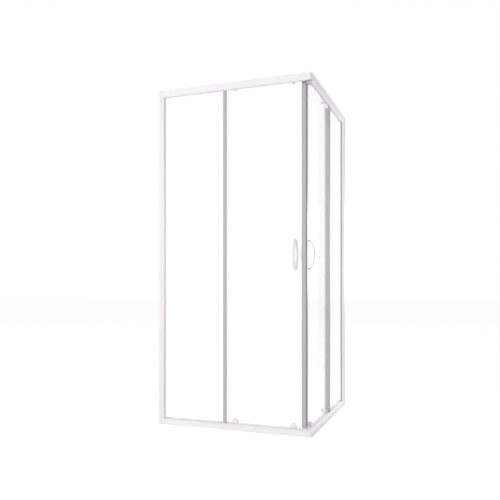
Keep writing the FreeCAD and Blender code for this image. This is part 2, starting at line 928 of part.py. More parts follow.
def carriage(t):
    """Release carriage: slides up in its housing and lifts the bottom wheel off the guide."""
    foot = plate_foot
    plate_s = (plate_face, plate_back)
    top = bottom_housing_top + stem_over
    arm_low = bottom_housing_foot + arm_lift
    reach = plate_half_width + arm_length
    pin_start = guide_plane - bottom_wheel_width / 2 - wheel_play / 2
    boss_start = guide_plane + bottom_wheel_width / 2 + wheel_play
    axle = (t, bottom_axle_height)
    lip_s = (plate_face - plate_thickness / 2, plate_back + plate_thickness / 2)
    return joined(
        [
            block((t - plate_half_width, t + plate_half_width), plate_s, (foot, foot + plate_height)),
            block((t - stem_half_width, t + stem_half_width), plate_s, (foot, top + lip_height)),
            block((t - lip_half_width, t + lip_half_width), lip_s, (top, top + lip_height)),
            block(
                (t - reach, t + reach),
                (plate_face, plate_back),
                (arm_low, arm_low + arm_height),
            ),
            block(
                (t - reach, t - plate_half_width - slide_play),
                (plate_face, plate_face + arm_depth),
                (arm_low, arm_low + arm_height),
            ),
            block(
                (t + plate_half_width + slide_play, t + reach),
                (plate_face, plate_face + arm_depth),
                (arm_low, arm_low + arm_height),
            ),
            rod("s", axle, pin_boss_radius, boss_start, plate_face),
            rod("s", axle, pin_radius, pin_start, plate_face),
        ]
    )


def bottom_wheel(t):
    """Grooved wheel that the guide rib of the sill rail keeps in line."""
    half = bottom_wheel_width / 2
    rim = bottom_groove_radius + bottom_flange
    bore = pin_radius + pin_play
    outline = [
        (bore, -half),
        (rim, -half),
        (rim, -bottom_groove_half_width),
        (bottom_groove_radius, -bottom_groove_half_width),
        (bottom_groove_radius, bottom_groove_half_width),
        (rim, bottom_groove_half_width),
        (rim, half),
        (bore, half),
    ]
    return revolved(outline, (t, guide_plane, bottom_axle_height))


def release_springs(t):
    """The two coil springs that press a carriage down on the guide."""
    low = bottom_housing_foot + arm_lift + arm_height
    rise = spring_height - 2 * spring_wire
    reach = plate_half_width + arm_length - spring_radius - spring_wire
    s = plate_back + slide_play + spring_radius + spring_wire
    springs = []
    for side in (-1, 1):
        path = Part.Wire(Part.makeHelix(rise / spring_turns, rise, spring_radius))
        section = Part.makeCircle(spring_wire, Vector(spring_radius, 0, 0), Vector(0, 1, 0))
        coil = path.makePipeShell([Part.Wire([section])], True, True)
        coil.translate(Vector(t + side * reach, s, low + spring_wire))
        springs.append(coil)
    return springs


def door_stops():
    """Blocks clipped on the track that stop the door's leading and trailing wheel."""
    half = top_wheel_width / 2
    s = (track_plane - half, track_plane + half)
    z = (track_top, track_top + stop_height)
    stops = []
    for start in (front_stop, rear_stop):
        end = start + stop_length
        bead = rod(
            "t", (track_plane, track_top), bead_radius + stop_play, start - cut_over, end + cut_over
        )
        stops.append(cut_from(block((start, end), s, z), bead))
    return stops


def export(shape, node):
    """Write one node, a solid or a group of solids, to its STEP file."""
    shape.exportStep("parts/" + node + ".step")


def export_pair(pieces, name):
    """Write one node for each side from the piece, or pieces, of the side's own frame."""
    for leg in ("front", "side"):
        moved = [placed(piece, leg) for piece in pieces]
        export(moved[0] if len(moved) == 1 else Part.makeCompound(moved), leg + "_" + name)


def export_group(pieces, node):
    """Write one node that holds the same pieces of both sides."""
    moved = [placed(piece, leg) for leg in ("front", "side") for piece in pieces]
    export(Part.makeCompound(moved), node)


def frame_screws():
    """All screws of one side's frame."""
    places = rail_screws() + joint_screws() + channel_screws()
    return [screw(place, direction) for place, direction in places]


def build_frame():
    """Rails, joints, profiles, fixed panes and what holds them."""
    export(top_corner_joint(), "top_corner_joint")
    export(bottom_corner_joint(), "bottom_corner_joint")
    export_pair([top_rail()], "top_rail")
    export_pair([bottom_rail()], "bottom_rail")
    export_pair([wall_profile()], "wall_profile")
    export_pair([upright()], "upright")
    export_pair([fixed_glass()], "fixed_glass")
    export_group([fixed_seal()], "fixed_seals")
    export_group([end_cap(), rail_plug()], "profile_end_caps")
    export_group([glazing_gasket()], "glazing_gaskets")
    export_group([groove_filler()], "groove_fillers")
    export_group(door_stops(), "door_stops")
    export_group(frame_screws(), "frame_screws")


def build_doors():
    """Both doors with their seals, handles and rollers."""
    export_pair([door_glass()], "door_glass")
    export_pair([door_seal()], "door_seal")
    export_pair([magnet_seal()], "magnet_seal")
    export_pair([magnet_tool(0)], "seal_magnet")
    export_pair([outer_handle()], "outer_handle")
    export_pair([inner_handle()], "inner_handle")
    export_pair(handle_studs(), "handle_studs")
    export_pair([top_axle(t) for t in rollers.values()], "top_axles")
    heights = (top_hole_height, bottom_hole_height)
    caps = [cap_screw(t, z) for t in rollers.values() for z in heights]
    export_pair(caps, "roller_cap_screws")
    for end, t in rollers.items():
        export_pair([top_housing(t)], end + "_top_housing")
        export_pair([top_wheel(t)], end + "_top_wheel")
        export_pair([bottom_housing(t)], end + "_bottom_housing")
        export_pair([carriage(t)], end + "_release_carriage")
        export_pair([bottom_wheel(t)], end + "_bottom_wheel")
        export_pair(release_springs(t), end + "_release_springs")


build_frame()
build_doors()
print("Each door slides", round(door_travel, 3), "mm")
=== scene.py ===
"""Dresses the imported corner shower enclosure: rails, panes, seals, rollers, handles and the studio.

Places on a glazed side are (t, s, z): t along the side from the outer corner, s inwards from the
outer face, z up. Lengths are metres, written as millimetres times MM.
"""

import json
import logging
import math
from dataclasses import dataclass, field
from enum import Enum
from typing import Callable, Iterable, Iterator, Sequence, Union

import bmesh
import bpy
from mathutils import Matrix, Vector


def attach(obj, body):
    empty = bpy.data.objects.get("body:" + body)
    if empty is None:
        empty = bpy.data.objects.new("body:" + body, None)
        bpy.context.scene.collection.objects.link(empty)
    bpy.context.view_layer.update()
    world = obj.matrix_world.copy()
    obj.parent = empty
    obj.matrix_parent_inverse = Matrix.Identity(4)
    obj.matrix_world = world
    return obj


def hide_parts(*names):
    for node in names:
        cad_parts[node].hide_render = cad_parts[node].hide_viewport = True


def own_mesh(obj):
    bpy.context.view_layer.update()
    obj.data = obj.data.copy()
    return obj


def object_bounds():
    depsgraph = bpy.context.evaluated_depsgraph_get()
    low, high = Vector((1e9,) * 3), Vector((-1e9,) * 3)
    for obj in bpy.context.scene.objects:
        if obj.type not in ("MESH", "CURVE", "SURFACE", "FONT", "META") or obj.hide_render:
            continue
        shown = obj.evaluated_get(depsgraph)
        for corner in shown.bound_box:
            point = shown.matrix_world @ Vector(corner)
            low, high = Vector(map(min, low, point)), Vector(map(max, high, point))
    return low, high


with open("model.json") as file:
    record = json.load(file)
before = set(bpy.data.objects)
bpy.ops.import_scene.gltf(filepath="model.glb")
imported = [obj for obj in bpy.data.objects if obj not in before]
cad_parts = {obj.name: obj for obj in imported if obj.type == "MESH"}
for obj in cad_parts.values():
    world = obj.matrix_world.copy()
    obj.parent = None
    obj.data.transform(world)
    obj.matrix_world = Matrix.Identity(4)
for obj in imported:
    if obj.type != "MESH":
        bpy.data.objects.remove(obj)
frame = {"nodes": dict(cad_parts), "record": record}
CAD_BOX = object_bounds()

LOG = logging.getLogger("enclosure")
MM = 0.001
WELD = 0.002 * MM
Span = tuple[float, float]
Triple = tuple[float, float, float]
Mesh = bpy.types.Mesh
Work = bmesh.types.BMesh
WHITE: Triple = (1.0, 1.0, 1.0)


class Slot(Enum):
    """Material slots of the record."""

    ALUMINIUM = "white_aluminium"
    PLASTIC = "white_plastic"
    GLASS = "clear_glass"
    SEAL = "grey_seal"
    NYLON = "wheel_nylon"
    STEEL = "steel"
    SPRING = "spring_steel"
    MAGNET = "magnet"
    RUBBER = "stop_rubber"


@dataclass(frozen=True)
class Box:
    """Lowest and highest place of a piece along t, s and z."""

    t: Span
    s: Span
    z: Span

    @property
    def centre(self) -> Vector:
        """Middle of the box."""
        return Vector([(low + high) / 2 for low, high in (self.t, self.s, self.z)])


class Leg(Enum):
    """The two glazed sides of the enclosure."""

    FRONT = "front"
    SIDE = "side"

    @property
    def to_row(self) -> Matrix:
        """Matrix from the side's own (t, s, z) to the row frame."""
        half = CAD_BOX[1].x
        x, y = ((-1, 0), (0, 1)) if self is Leg.FRONT else ((0, -1), (1, 0))
        return Matrix(((*x, 0, half), (*y, 0, -half), (0, 0, 1, 0), (0, 0, 0, 1)))

    @property
    def door(self) -> str:
        """Name of the body of this side's door."""
        return f"{self.value}_door"

    def node(self, name: str) -> str:
        """Name of this side's own node, or of the node that both sides share."""
        own = f"{self.value}_{name}"
        return own if own in frame["nodes"] else name

    def box(self, name: str) -> Box:
        """Box of a node, or of this side's share of it, in the side's own places.

        Args:
            name: Node name without its side.

        Returns:
            The box in (t, s, z).
        """
        node = self.node(name)
        turn = self.to_row.inverted()
        places = [turn @ v.co for v in frame["nodes"][node].data.vertices]
        mine = [p for p in places if node != name or p.x > p.y]
        return Box(*((min(p[i] for p in mine), max(p[i] for p in mine)) for i in range(3)))


class Signal:
    """A node socket that takes Python's arithmetic."""

    def __init__(self, graph: "NodeGraph", socket: bpy.types.NodeSocket | None) -> None:
        """Wrap a socket of a graph."""
        self.graph = graph
        self.socket = socket

    def _math(self, operation: str, other: "Value") -> "Signal":
        """Add one Math node."""
        return self.graph.node("ShaderNodeMath", {0: self, 1: other}, operation=operation)

    def __add__(self, other: "Value") -> "Signal":
        """Sum."""
        return self._math("ADD", other)

    def __mul__(self, other: "Value") -> "Signal":
        """Product."""
        return self._math("MULTIPLY", other)

    def either(self, other: "Value") -> "Signal":
        """The larger of two values."""
        return self._math("MAXIMUM", other)

    __radd__ = __add__
    __rmul__ = __mul__


Value = Union[Signal, float]


class NodeGraph:
    """A node tree under construction, of a material, the world or a mesh."""

    def __init__(self, tree: bpy.types.NodeTree) -> None:
        """Take a tree and empty it."""
        self.tree = tree
        tree.nodes.clear()

    def node(
        self,
        kind: str,
        inputs: dict[str | int, object] | None = None,
        output: str | int = 0,
        **settings: object,
    ) -> Signal:
        """Add a node.

        Args:
            kind: Node type.
            inputs: Values, links or lists of links of sockets, by name or number.
            output: Socket to return.
            settings: Properties that are set first.

        Returns:
            The chosen output.
        """
        made = self.tree.nodes.new(kind)
        for name, value in settings.items():
            setattr(made, name, value)
        for name, value in (inputs or {}).items():
            socket = made.inputs[name]
            for one in value if isinstance(value, list) else [value]:
                if isinstance(one, Signal):
                    self.tree.links.new(one.socket, socket)
                else:
                    socket.default_value = (*one, 1.0) if socket.type == "RGBA" else one
        return Signal(self, made.outputs[output] if made.outputs else None)

    def noise(self, size: float, detail: float = 2.0, stretch: Triple = (1, 1, 1)) -> Signal:
        """Noise whose lumps are about size metres across, drawn out where stretch is under one."""
        where = self.node("ShaderNodeTexCoord", output="Object")
        inputs = {"Vector": where, "Scale": stretch}
        where = self.node("ShaderNodeMapping", inputs, vector_type="POINT")
        inputs = {"Vector": where, "Scale": 1 / size, "Detail": detail}
        return self.node("ShaderNodeTexNoise", inputs)

    def blend(self, share: Value, first: Triple, second: Triple) -> Signal:
        """Mix two colours; a Mix node has them in its sockets 6 and 7, and gives them in 2."""
        inputs = {"Factor": share, 6: first, 7: second}
        return self.node("ShaderNodeMix", inputs, output=2, data_type="RGBA")

    def rays(self, *kinds: str) -> Signal:
        """One for rays of any of these kinds."""
        found, *rest = [self.node("ShaderNodeLightPath", output=f"Is {kind} Ray") for kind in kinds]
        for other in rest:
            found = found.either(other)
        return found

    def mix(self, share: Signal, first: Signal, second: Signal) -> Signal:
        """Mix two shaders."""
        return self.node("ShaderNodeMixShader", {0: share, 1: first, 2: second})


def emptied(owner: bpy.types.Material | bpy.types.World) -> NodeGraph:
    """The empty node graph of a material or world."""
    owner.use_nodes = True
    return NodeGraph(owner.node_tree)


@dataclass(frozen=True)
class Finish:
    """A surface finish: its colour and how its tone, gloss and height vary.

    The colour goes between two shades of itself, and the roughness swings round its own value.
    """

    name: str
    slot: Slot
    colour: Triple
    roughness: float
    shades: Span = (1.0, 1.0)
    swing: float = 0.1
    depth: float = 0.02 * MM

    def material(self) -> bpy.types.Material:
        """The finish's material, made once."""
        found = bpy.data.materials.get(self.name)
        if found is None:
            found = bpy.data.materials.new(self.name)
            graph = emptied(found)
            graph.node("ShaderNodeOutputMaterial", {"Surface": self.surface(graph)})
        return found

    def surface(self, graph: NodeGraph) -> Signal:
        """Shader of the finish."""
        raise NotImplementedError

    def principled(
        self,
        tone: Signal,
        gloss: Signal,
        relief: Signal,
        extra: dict[str, Value] | None = None,
    ) -> Signal:
        """Principled shader that follows three masks.

        Args:
            tone: Mask of the shades.
            gloss: Mask of the roughness.
            relief: Height of the surface.
            extra: Further inputs.

        Returns:
            The shader.
        """
        graph = tone.graph
        low, high = (tuple(channel * shade for channel in self.colour) for shade in self.shades)
        inputs = {
            "Base Color": graph.blend(tone, low, high),
            "Roughness": gloss * self.swing + (self.roughness - self.swing / 2),
            "Normal": graph.node("ShaderNodeBump", {"Height": relief, "Distance": self.depth}),
        }
        return graph.node("ShaderNodeBsdfPrincipled", {**inputs, **(extra or {})})

    def see_through(self, shader: Signal) -> Signal:
        """The shader, but plainly clear to lamp light and bounced light."""
        graph = shader.graph
        clear = graph.node("ShaderNodeBsdfTransparent", {"Color": self.colour})
        return graph.mix(graph.rays("Shadow", "Diffuse"), shader, clear)


@dataclass(frozen=True)
class PowderCoat(Finish):
    """Powder-coated aluminium: orange peel, and a slight unevenness of tone and gloss."""

    shades: Span = (0.985, 1.0)
    swing: float = 0.08
    peel: float = 1.6 * MM
    cloud: float = 90 * MM
    specular: float = 0.4

    def surface(self, graph: NodeGraph) -> Signal:
        """Shader of the powder coat."""
        peel, cloud = graph.noise(self.peel, 3.0), graph.noise(self.cloud)
        return self.principled(cloud, cloud, peel, {"Specular IOR Level": self.specular})


@dataclass(frozen=True)
class MouldedPlastic(Finish):
    """Moulded plastic: fine spark-eroded grain under a soft gloss."""

    shades: Span = (0.975, 1.0)
    depth: float = 0.006 * MM
    grain: float = 0.35 * MM
    flow: float = 14 * MM
    coat: float = 0.15
    coat_roughness: float = 0.25

    def surface(self, graph: NodeGraph) -> Signal:
        """Shader of the moulded plastic."""
        grain, flow = graph.noise(self.grain), graph.noise(self.flow, 3.0)
        extra = {"Coat Weight": self.coat, "Coat Roughness": self.coat_roughness}
        return self.principled(flow, grain, grain, extra)


@dataclass(frozen=True)
class SealStrip(Finish):
    """Soft extruded strip: drawn streaks along its length and a faint haze."""

    shades: Span = (0.93, 1.0)
    swing: float = 0.16
    depth: float = 0.03 * MM
    streak: float = 1.1 * MM
    drawn: Triple = (1.0, 1.0, 0.004)
    haze: float = 55 * MM
    haze_drawn: Triple = (1.0, 1.0, 0.25)
    haze_share: float = 0.3
    specular: float = 0.2

    def surface(self, graph: NodeGraph) -> Signal:
        """Shader of the strip."""
        streaks = graph.noise(self.streak, stretch=self.drawn)
        haze = graph.noise(self.haze, stretch=self.haze_drawn)
        tone = streaks * (1 - self.haze_share) + haze * self.haze_share
        return self.principled(tone, haze, streaks, {"Specular IOR Level": self.specular})


@dataclass(frozen=True)
class ClearStrip(Finish):
    """Clear soft plastic, a little hazy."""

    shades: Span = (0.96, 1.0)
    body: float = 0.16
    body_swing: float = 0.04
    streak: float = 1.4 * MM
    drawn: Triple = (1.0, 1.0, 0.004)

    def surface(self, graph: NodeGraph) -> Signal:
        """Shader of the clear strip."""
        streaks = graph.noise(self.streak, stretch=self.drawn)
        alpha = streaks * self.body_swing + (self.body - self.body_swing / 2)
        return self.see_through(self.principled(streaks, streaks, streaks, {"Alpha": alpha}))


@dataclass(frozen=True)
class DrawnMetal(Finish):
    """Turned or drawn metal: fine lines across it and stains of gloss."""

    shades: Span = (0.88, 1.0)
    swing: float = 0.2
    depth: float = 0.004 * MM
    line: float = 0.25 * MM
    drawn: Triple = (0.2, 0.2, 1.0)
    stain: float = 6 * MM

    def surface(self, graph: NodeGraph) -> Signal:
        """Shader of the metal."""
        lines = graph.noise(self.line, stretch=self.drawn)
        stain = graph.noise(self.stain, 3.0)
        return self.principled(stain, stain, lines, {"Metallic": 1.0})


@dataclass(frozen=True)
class Grained(Finish):
    """Matt rubber or bonded ferrite, with a dusty grain."""

    shades: Span = (1.0, 1.25)
    grain: float = 0.6 * MM

    def surface(self, graph: NodeGraph) -> Signal:
        """Shader of the grained surface."""
        grain = graph.noise(self.grain, 4.0)
        return self.principled(grain, grain, grain)


@dataclass(frozen=True)
class SheetGlass(Finish):
    """Clear toughened glass, with a faint film."""

    swing: float = 0.01
    ior: float = 1.5
    body: float = 0.08
    film: float = 120 * MM

    def surface(self, graph: NodeGraph) -> Signal:
        """Shader of the glass."""
        film = graph.noise(self.film, 3.0)
        inputs = {
            "Base Color": graph.blend(film, self.colour, WHITE),
            "Roughness": film * self.swing + self.roughness,
            "IOR": self.ior,
            "Transmission Weight": 1.0,
            "Alpha": self.body,
        }
        return self.see_through(graph.node("ShaderNodeBsdfPrincipled", inputs))


POWDER_WHITE = PowderCoat("white_powder_coat", Slot.ALUMINIUM, (0.9, 0.885, 0.9), 0.42)
PLASTIC_WHITE = MouldedPlastic("white_moulding", Slot.PLASTIC, (0.88, 0.868, 0.88), 0.36)
PLASTIC_GLOSS = MouldedPlastic(
    "gloss_white_moulding", Slot.PLASTIC, (0.85, 0.838, 0.85), 0.3, coat=0.25
)
GLASS_CLEAR = SheetGlass("clear_toughened_glass", Slot.GLASS, (0.99, 0.984, 0.99), 0.0)
GLASS_EDGE = SheetGlass("ground_glass_edge", Slot.GLASS, (0.72, 0.83, 0.79), 0.0, body=0.8)
SEAL_GREY = SealStrip("grey_seal_strip", Slot.SEAL, (0.54, 0.525, 0.54), 0.42)
GASKET_PALE = SealStrip("pale_gasket", Slot.SEAL, (0.86, 0.845, 0.86), 0.5)
# The fin's grey is lighter than the strip's grey: partly the fin's paler soft material, partly
# painted light that makes up for the shade the fin stands in.
SEAL_LIP_PAINTED_LIGHT = SealStrip("grey_lip_with_painted_light", Slot.SEAL, (0.64, 0.625, 0.64), 0.46)
SEAL_CLEAR = ClearStrip("clear_soft_strip", Slot.SEAL, (0.96, 0.95, 0.96), 0.3)
NYLON = MouldedPlastic("turned_nylon", Slot.NYLON, (0.84, 0.83, 0.8), 0.4)
STEEL = DrawnMetal("stainless_steel", Slot.STEEL, (0.72, 0.71, 0.7), 0.3)
SPRING_WIRE = DrawnMetal("spring_wire", Slot.SPRING, (0.6, 0.6, 0.62), 0.28)
FERRITE = Grained("ferrite_strip", Slot.MAGNET, (0.1, 0.1, 0.105), 0.6)
RUBBER = Grained("stop_rubber", Slot.RUBBER, (0.27, 0.27, 0.28), 0.75)


def turns(count: int) -> list[float]:
    """Angles that share out a full turn."""
    return [math.tau * k / count for k in range(count)]


class Outline:
    """A closed flat outline, drawn corner by corner, with rounded corners and arcs."""

    ARC_STEP = 15.0
    BOW_STEPS = 10
    CORNER_STEP = math.radians(25)
    EDGE_SHARE = 0.48

    def __init__(self) -> None:
        """Start an empty outline."""
        self._corners: list[tuple[Vector, float]] = []

    def to(self, across: float, up: float, radius: float = 0.0) -> "Outline":
        """Add a corner, with its radius."""
        self._corners.append((Vector((across, up)), radius))
        return self

    def arc(self, centre: Sequence[float], radius: float, start: float, end: float) -> "Outline":
        """Add an arc between two angles in degrees."""
        steps = max(2, round(abs(end - start) / self.ARC_STEP))
        for i in range(steps + 1):
            angle = math.radians(start + (end - start) * i / steps)
            self.to(centre[0] + radius * math.cos(angle), centre[1] + radius * math.sin(angle))
        return self

    def bow(self, across: float, up: float, bulge: float) -> "Outline":
        """Add an arc from the last corner to a new one, standing out by bulge to its left."""
        start, end = self._corners[-1][0], Vector((across, up))
        chord = end - start
        radius = (chord.length_squared / 4 + bulge**2) / (2 * bulge)
        left = Vector((-chord.y, chord.x)).normalized()
        centre = (start + end) / 2 + left * (bulge - radius)
        first = start - centre
        sweep = -first.angle(end - centre)
        for i in range(1, self.BOW_STEPS + 1):
            turn = Matrix.Rotation(sweep * i / self.BOW_STEPS, 2)
            self._corners.append((centre + turn @ first, 0.0))
        return self

    def points(self) -> list[Vector]:
        """The outline's points in order, with its corners rounded."""
        found: list[Vector] = []
        count = len(self._corners)
        for i, (corner, radius) in enumerate(self._corners):
            if radius <= 0:
                found.append(corner)
                continue
            back = self._corners[i - 1][0] - corner
            ahead = self._corners[(i + 1) % count][0] - corner
            half = back.angle(ahead) / 2
            longest = self.EDGE_SHARE * min(back.length, ahead.length)
            reach = min(radius / math.tan(half), longest)
            back.normalize()
            ahead.normalize()
            centre = corner + (back + ahead).normalized() * (reach / math.cos(half))
            first, last = (corner + way * reach - centre for way in (back, ahead))
            turn = math.atan2(first.x * last.y - first.y * last.x, first.dot(last))
            steps = max(2, math.ceil(abs(turn) / self.CORNER_STEP))
            for k in range(steps + 1):
                found.append(centre + Matrix.Rotation(turn * k / steps, 2) @ first)
        return found


def circle(across: float, up: float, radius: float, sides: int = 24) -> Outline:
    """A round outline."""
    ring = Outline()
    for angle in turns(sides):
        ring.to(across + radius * math.cos(angle), up + radius * math.sin(angle))
    return ring


def linked(name: str, mesh: Mesh) -> bpy.types.Object:
    """A new object in the scene that shows a mesh."""
    made = bpy.data.objects.new(name, mesh)
    bpy.context.scene.collection.objects.link(made)
    return made


def evaluated(holder: bpy.types.Object) -> Mesh:
    """The mesh that an object's modifiers make; the object is removed."""
    graph = bpy.context.evaluated_depsgraph_get()
    made = bpy.data.meshes.new_from_object(holder.evaluated_get(graph))
    bpy.data.objects.remove(holder)
    return made


class GeometryTree(NodeGraph):
    """A Geometry Nodes tree with named inputs, run on a mesh to make a plain one."""

    def __init__(self, name: str, *sizes: str) -> None:
        """Start a tree.

        Args:
            name: Name of the tree.
            sizes: Names of its number inputs, between the geometry and the finish.
        """
        super().__init__(bpy.data.node_groups.new(name, "GeometryNodeTree"))
        shape = "NodeSocketGeometry"
        kinds = {"Geometry": shape, **dict.fromkeys(sizes, "NodeSocketFloat")}
        self.keys = {}
        for label, kind in {**kinds, "Finish": "NodeSocketMaterial"}.items():
            made = self.tree.interface.new_socket(label, in_out="INPUT", socket_type=kind)
            self.keys[label] = made.identifier
        self.tree.interface.new_socket("Geometry", in_out="OUTPUT", socket_type=shape)
        self.entry = self.tree.nodes.new("NodeGroupInput")

    def given(self, label: str) -> Signal:
        """A named input."""
        return Signal(self, self.entry.outputs[label])

    def moved(self, geometry: Signal, rise: Signal) -> Signal:
        """Geometry moved along z."""
        shift = self.node("ShaderNodeCombineXYZ", {"Z": rise})
        return self.node("GeometryNodeTransform", {"Geometry": geometry, "Translation": shift})

    def close(self, geometry: Signal) -> "GeometryTree":
        """End the tree: realise its instances and set their material."""
        real = self.node("GeometryNodeRealizeInstances", {"Geometry": geometry})
        inputs = {"Geometry": real, "Material": self.given("Finish")}
        self.node("NodeGroupOutput", {0: self.node("GeometryNodeSetMaterial", inputs)})
        return self

    def run(self, mesh: Mesh, finish: Finish, sizes: dict[str, float]) -> Mesh:
        """Run the tree.

        Args:
            mesh: Mesh that the tree starts from.
            finish: Finish of what it makes.
            sizes: Values of its number inputs.

        Returns:
            A new plain mesh.
        """
        holder = linked("tree_holder", mesh)
        modifier = holder.modifiers.new(self.tree.name, "NODES")
        modifier.node_group = self.tree
        for label, value in {**sizes, "Finish": finish.material()}.items():
            modifier[self.keys[label]] = value
        made = evaluated(holder)
        while None in list(made.materials):
            made.materials.pop(index=list(made.materials).index(None))
        return made


def reshaped(mesh: Mesh, change: Callable[[Work], object]) -> Mesh:
    """Change a mesh in place through bmesh, then weld it and turn its faces outwards."""
    work = bmesh.new()
    work.from_mesh(mesh)
    change(work)
    bmesh.ops.remove_doubles(work, verts=work.verts, dist=WELD)
    bmesh.ops.recalc_face_normals(work, faces=work.faces)
    work.to_mesh(mesh)
    work.free()
    return mesh


def creased(mesh: Mesh, angle: float = 38.0) -> Mesh:
    """A copy of a mesh, smooth but for edges sharper than an angle, flat faces kept flat."""

    def mark(work: Work) -> None:
        """Mark the sharp edges."""
        for face in work.faces:
            face.smooth = True
        for edge in work.edges:
            edge.smooth = edge.is_manifold and edge.calc_face_angle(0.0) < math.radians(angle)

    holder = linked("crease_holder", reshaped(mesh, mark))
    holder.modifiers.new("weighted", "WEIGHTED_NORMAL").keep_sharp = True
    return evaluated(holder)


def softened(node: str, width: float, clamp: bool = True) -> Mesh:
    """A welded copy of a CAD node with its edges rounded.

    Args:
        node: Name of the node.
        width: Width of the rounding.
        clamp: Whether the rounding shrinks where edges are close.

    Returns:
        The copy's mesh, in the row frame.
    """
    flat, sharp = math.radians(0.5), math.radians(35)

    def merge(work: Work) -> None:
        """Take the node's triangles and merge flat ones."""
        work.from_mesh(frame["nodes"][node].data)
        bmesh.ops.remove_doubles(work, verts=work.verts, dist=WELD)
        bmesh.ops.dissolve_limit(work, angle_limit=flat, verts=work.verts, edges=work.edges)

    holder = linked("soft_holder", reshaped(bpy.data.meshes.new(node), merge))
    rounding = holder.modifiers.new("rounding", "BEVEL")
    rounding.width, rounding.segments = width, 2
    rounding.limit_method, rounding.angle_limit = "ANGLE", sharp
    rounding.use_clamp_overlap = clamp
    return creased(evaluated(holder))


def joined(meshes: Sequence[Mesh]) -> Mesh:
    """One mesh from several, each kept as its own closed shell."""
    work = bmesh.new()
    for mesh in meshes:
        work.from_mesh(mesh)
    made = meshes[0].copy()
    work.to_mesh(made)
    work.free()
    return creased(made)


def loft(work: Work, rings: Iterable[Sequence[Triple]]) -> None:
    """Skin rings of places, each with as many places as the last."""
    last: list[bmesh.types.BMVert] = []
    for places in rings:
        ring = [work.verts.new(place) for place in places]
        for k in range(len(last)):
            n = (k + 1) % len(ring)
            work.faces.new((last[k], last[n], ring[n], ring[k]))
        last = ring


def install(name: str, mesh: Mesh, body: str, finish: Finish, node: str) -> None:
    """Put a finished piece in the scene, in place of a CAD node.

    Args:
        name: Name of the piece.
        mesh: Its mesh, in the row frame.
        body: Body that it rides on.
        finish: Its finish.
        node: CAD node that it stands for.
    """
    mesh.name = name
    if not mesh.materials:
        mesh.materials.append(finish.material())
    piece = linked(name, mesh)
    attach(piece, body)
    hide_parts(node)
    LOG.info("%s: %d faces on %s", name, len(mesh.polygons), body)


class Extruder:
    """Draws outlines out into closed strips with a Geometry Nodes tree."""

    def __init__(self) -> None:
        """Build the tree: fill the outline, draw it out, close its foot."""
        tree = GeometryTree("drawn_strip", "Length")
        curve = tree.node("GeometryNodeMeshToCurve", {"Mesh": tree.given("Geometry")})
        face = tree.node("GeometryNodeFillCurve", {"Curve": curve}, mode="TRIANGLES")
        rise = tree.node("ShaderNodeCombineXYZ", {"Z": tree.given("Length")})
        inputs = {"Mesh": face, "Offset": rise, "Individual": False}
        drawn = tree.node("GeometryNodeExtrudeMesh", inputs, mode="FACES")
        foot = tree.node("GeometryNodeFlipFaces", {"Mesh": face})
        both = tree.node("GeometryNodeJoinGeometry", {"Geometry": [drawn, foot]})
        inputs = {"Geometry": both, "Distance": WELD}
        self.tree = tree.close(tree.node("GeometryNodeMergeByDistance", inputs))

    def draw(
        self,
        outlines: Sequence[Outline],
        span: Span,
        along: str,
        leg: Leg,
        finish: Finish,
        change: Callable[[Work], None] | None = None,
    ) -> Mesh:
        """Draw an outline out along t or z.

        Args:
            outlines: The outer outline, then any holes; (s, z) along t, or (t, s) along z.
            span: Where the strip starts and ends.
            along: "t" or "z".
            leg: Side that the strip belongs to.
            finish: Its finish.
            change: Change to make in the side's own places.

        Returns:
            The strip's mesh, in the row frame.
        """
        flat = bpy.data.meshes.new("outline")
        points, edges = [], []
        for outline in outlines:
            ring = outline.points()
            first = len(points)
            points += [(p.x, p.y, 0) for p in ring]
            edges += [(first + i, first + (i + 1) % len(ring)) for i in range(len(ring))]
        flat.from_pydata(points, edges, [])
        mesh = self.tree.run(flat, finish, {"Length": span[1] - span[0]})
        place = Matrix.Translation((0, 0, span[0]))
        if along == "t":
            place = Matrix(((0, 0, 1, span[0]), (1, 0, 0, 0), (0, 1, 0, 0), (0, 0, 0, 1)))

        def settle(work: Work) -> None:
            """Move the strip to its side."""
            work.transform(place)
            if change:
                change(work)
            work.transform(leg.to_row)

        return creased(reshaped(mesh, settle))


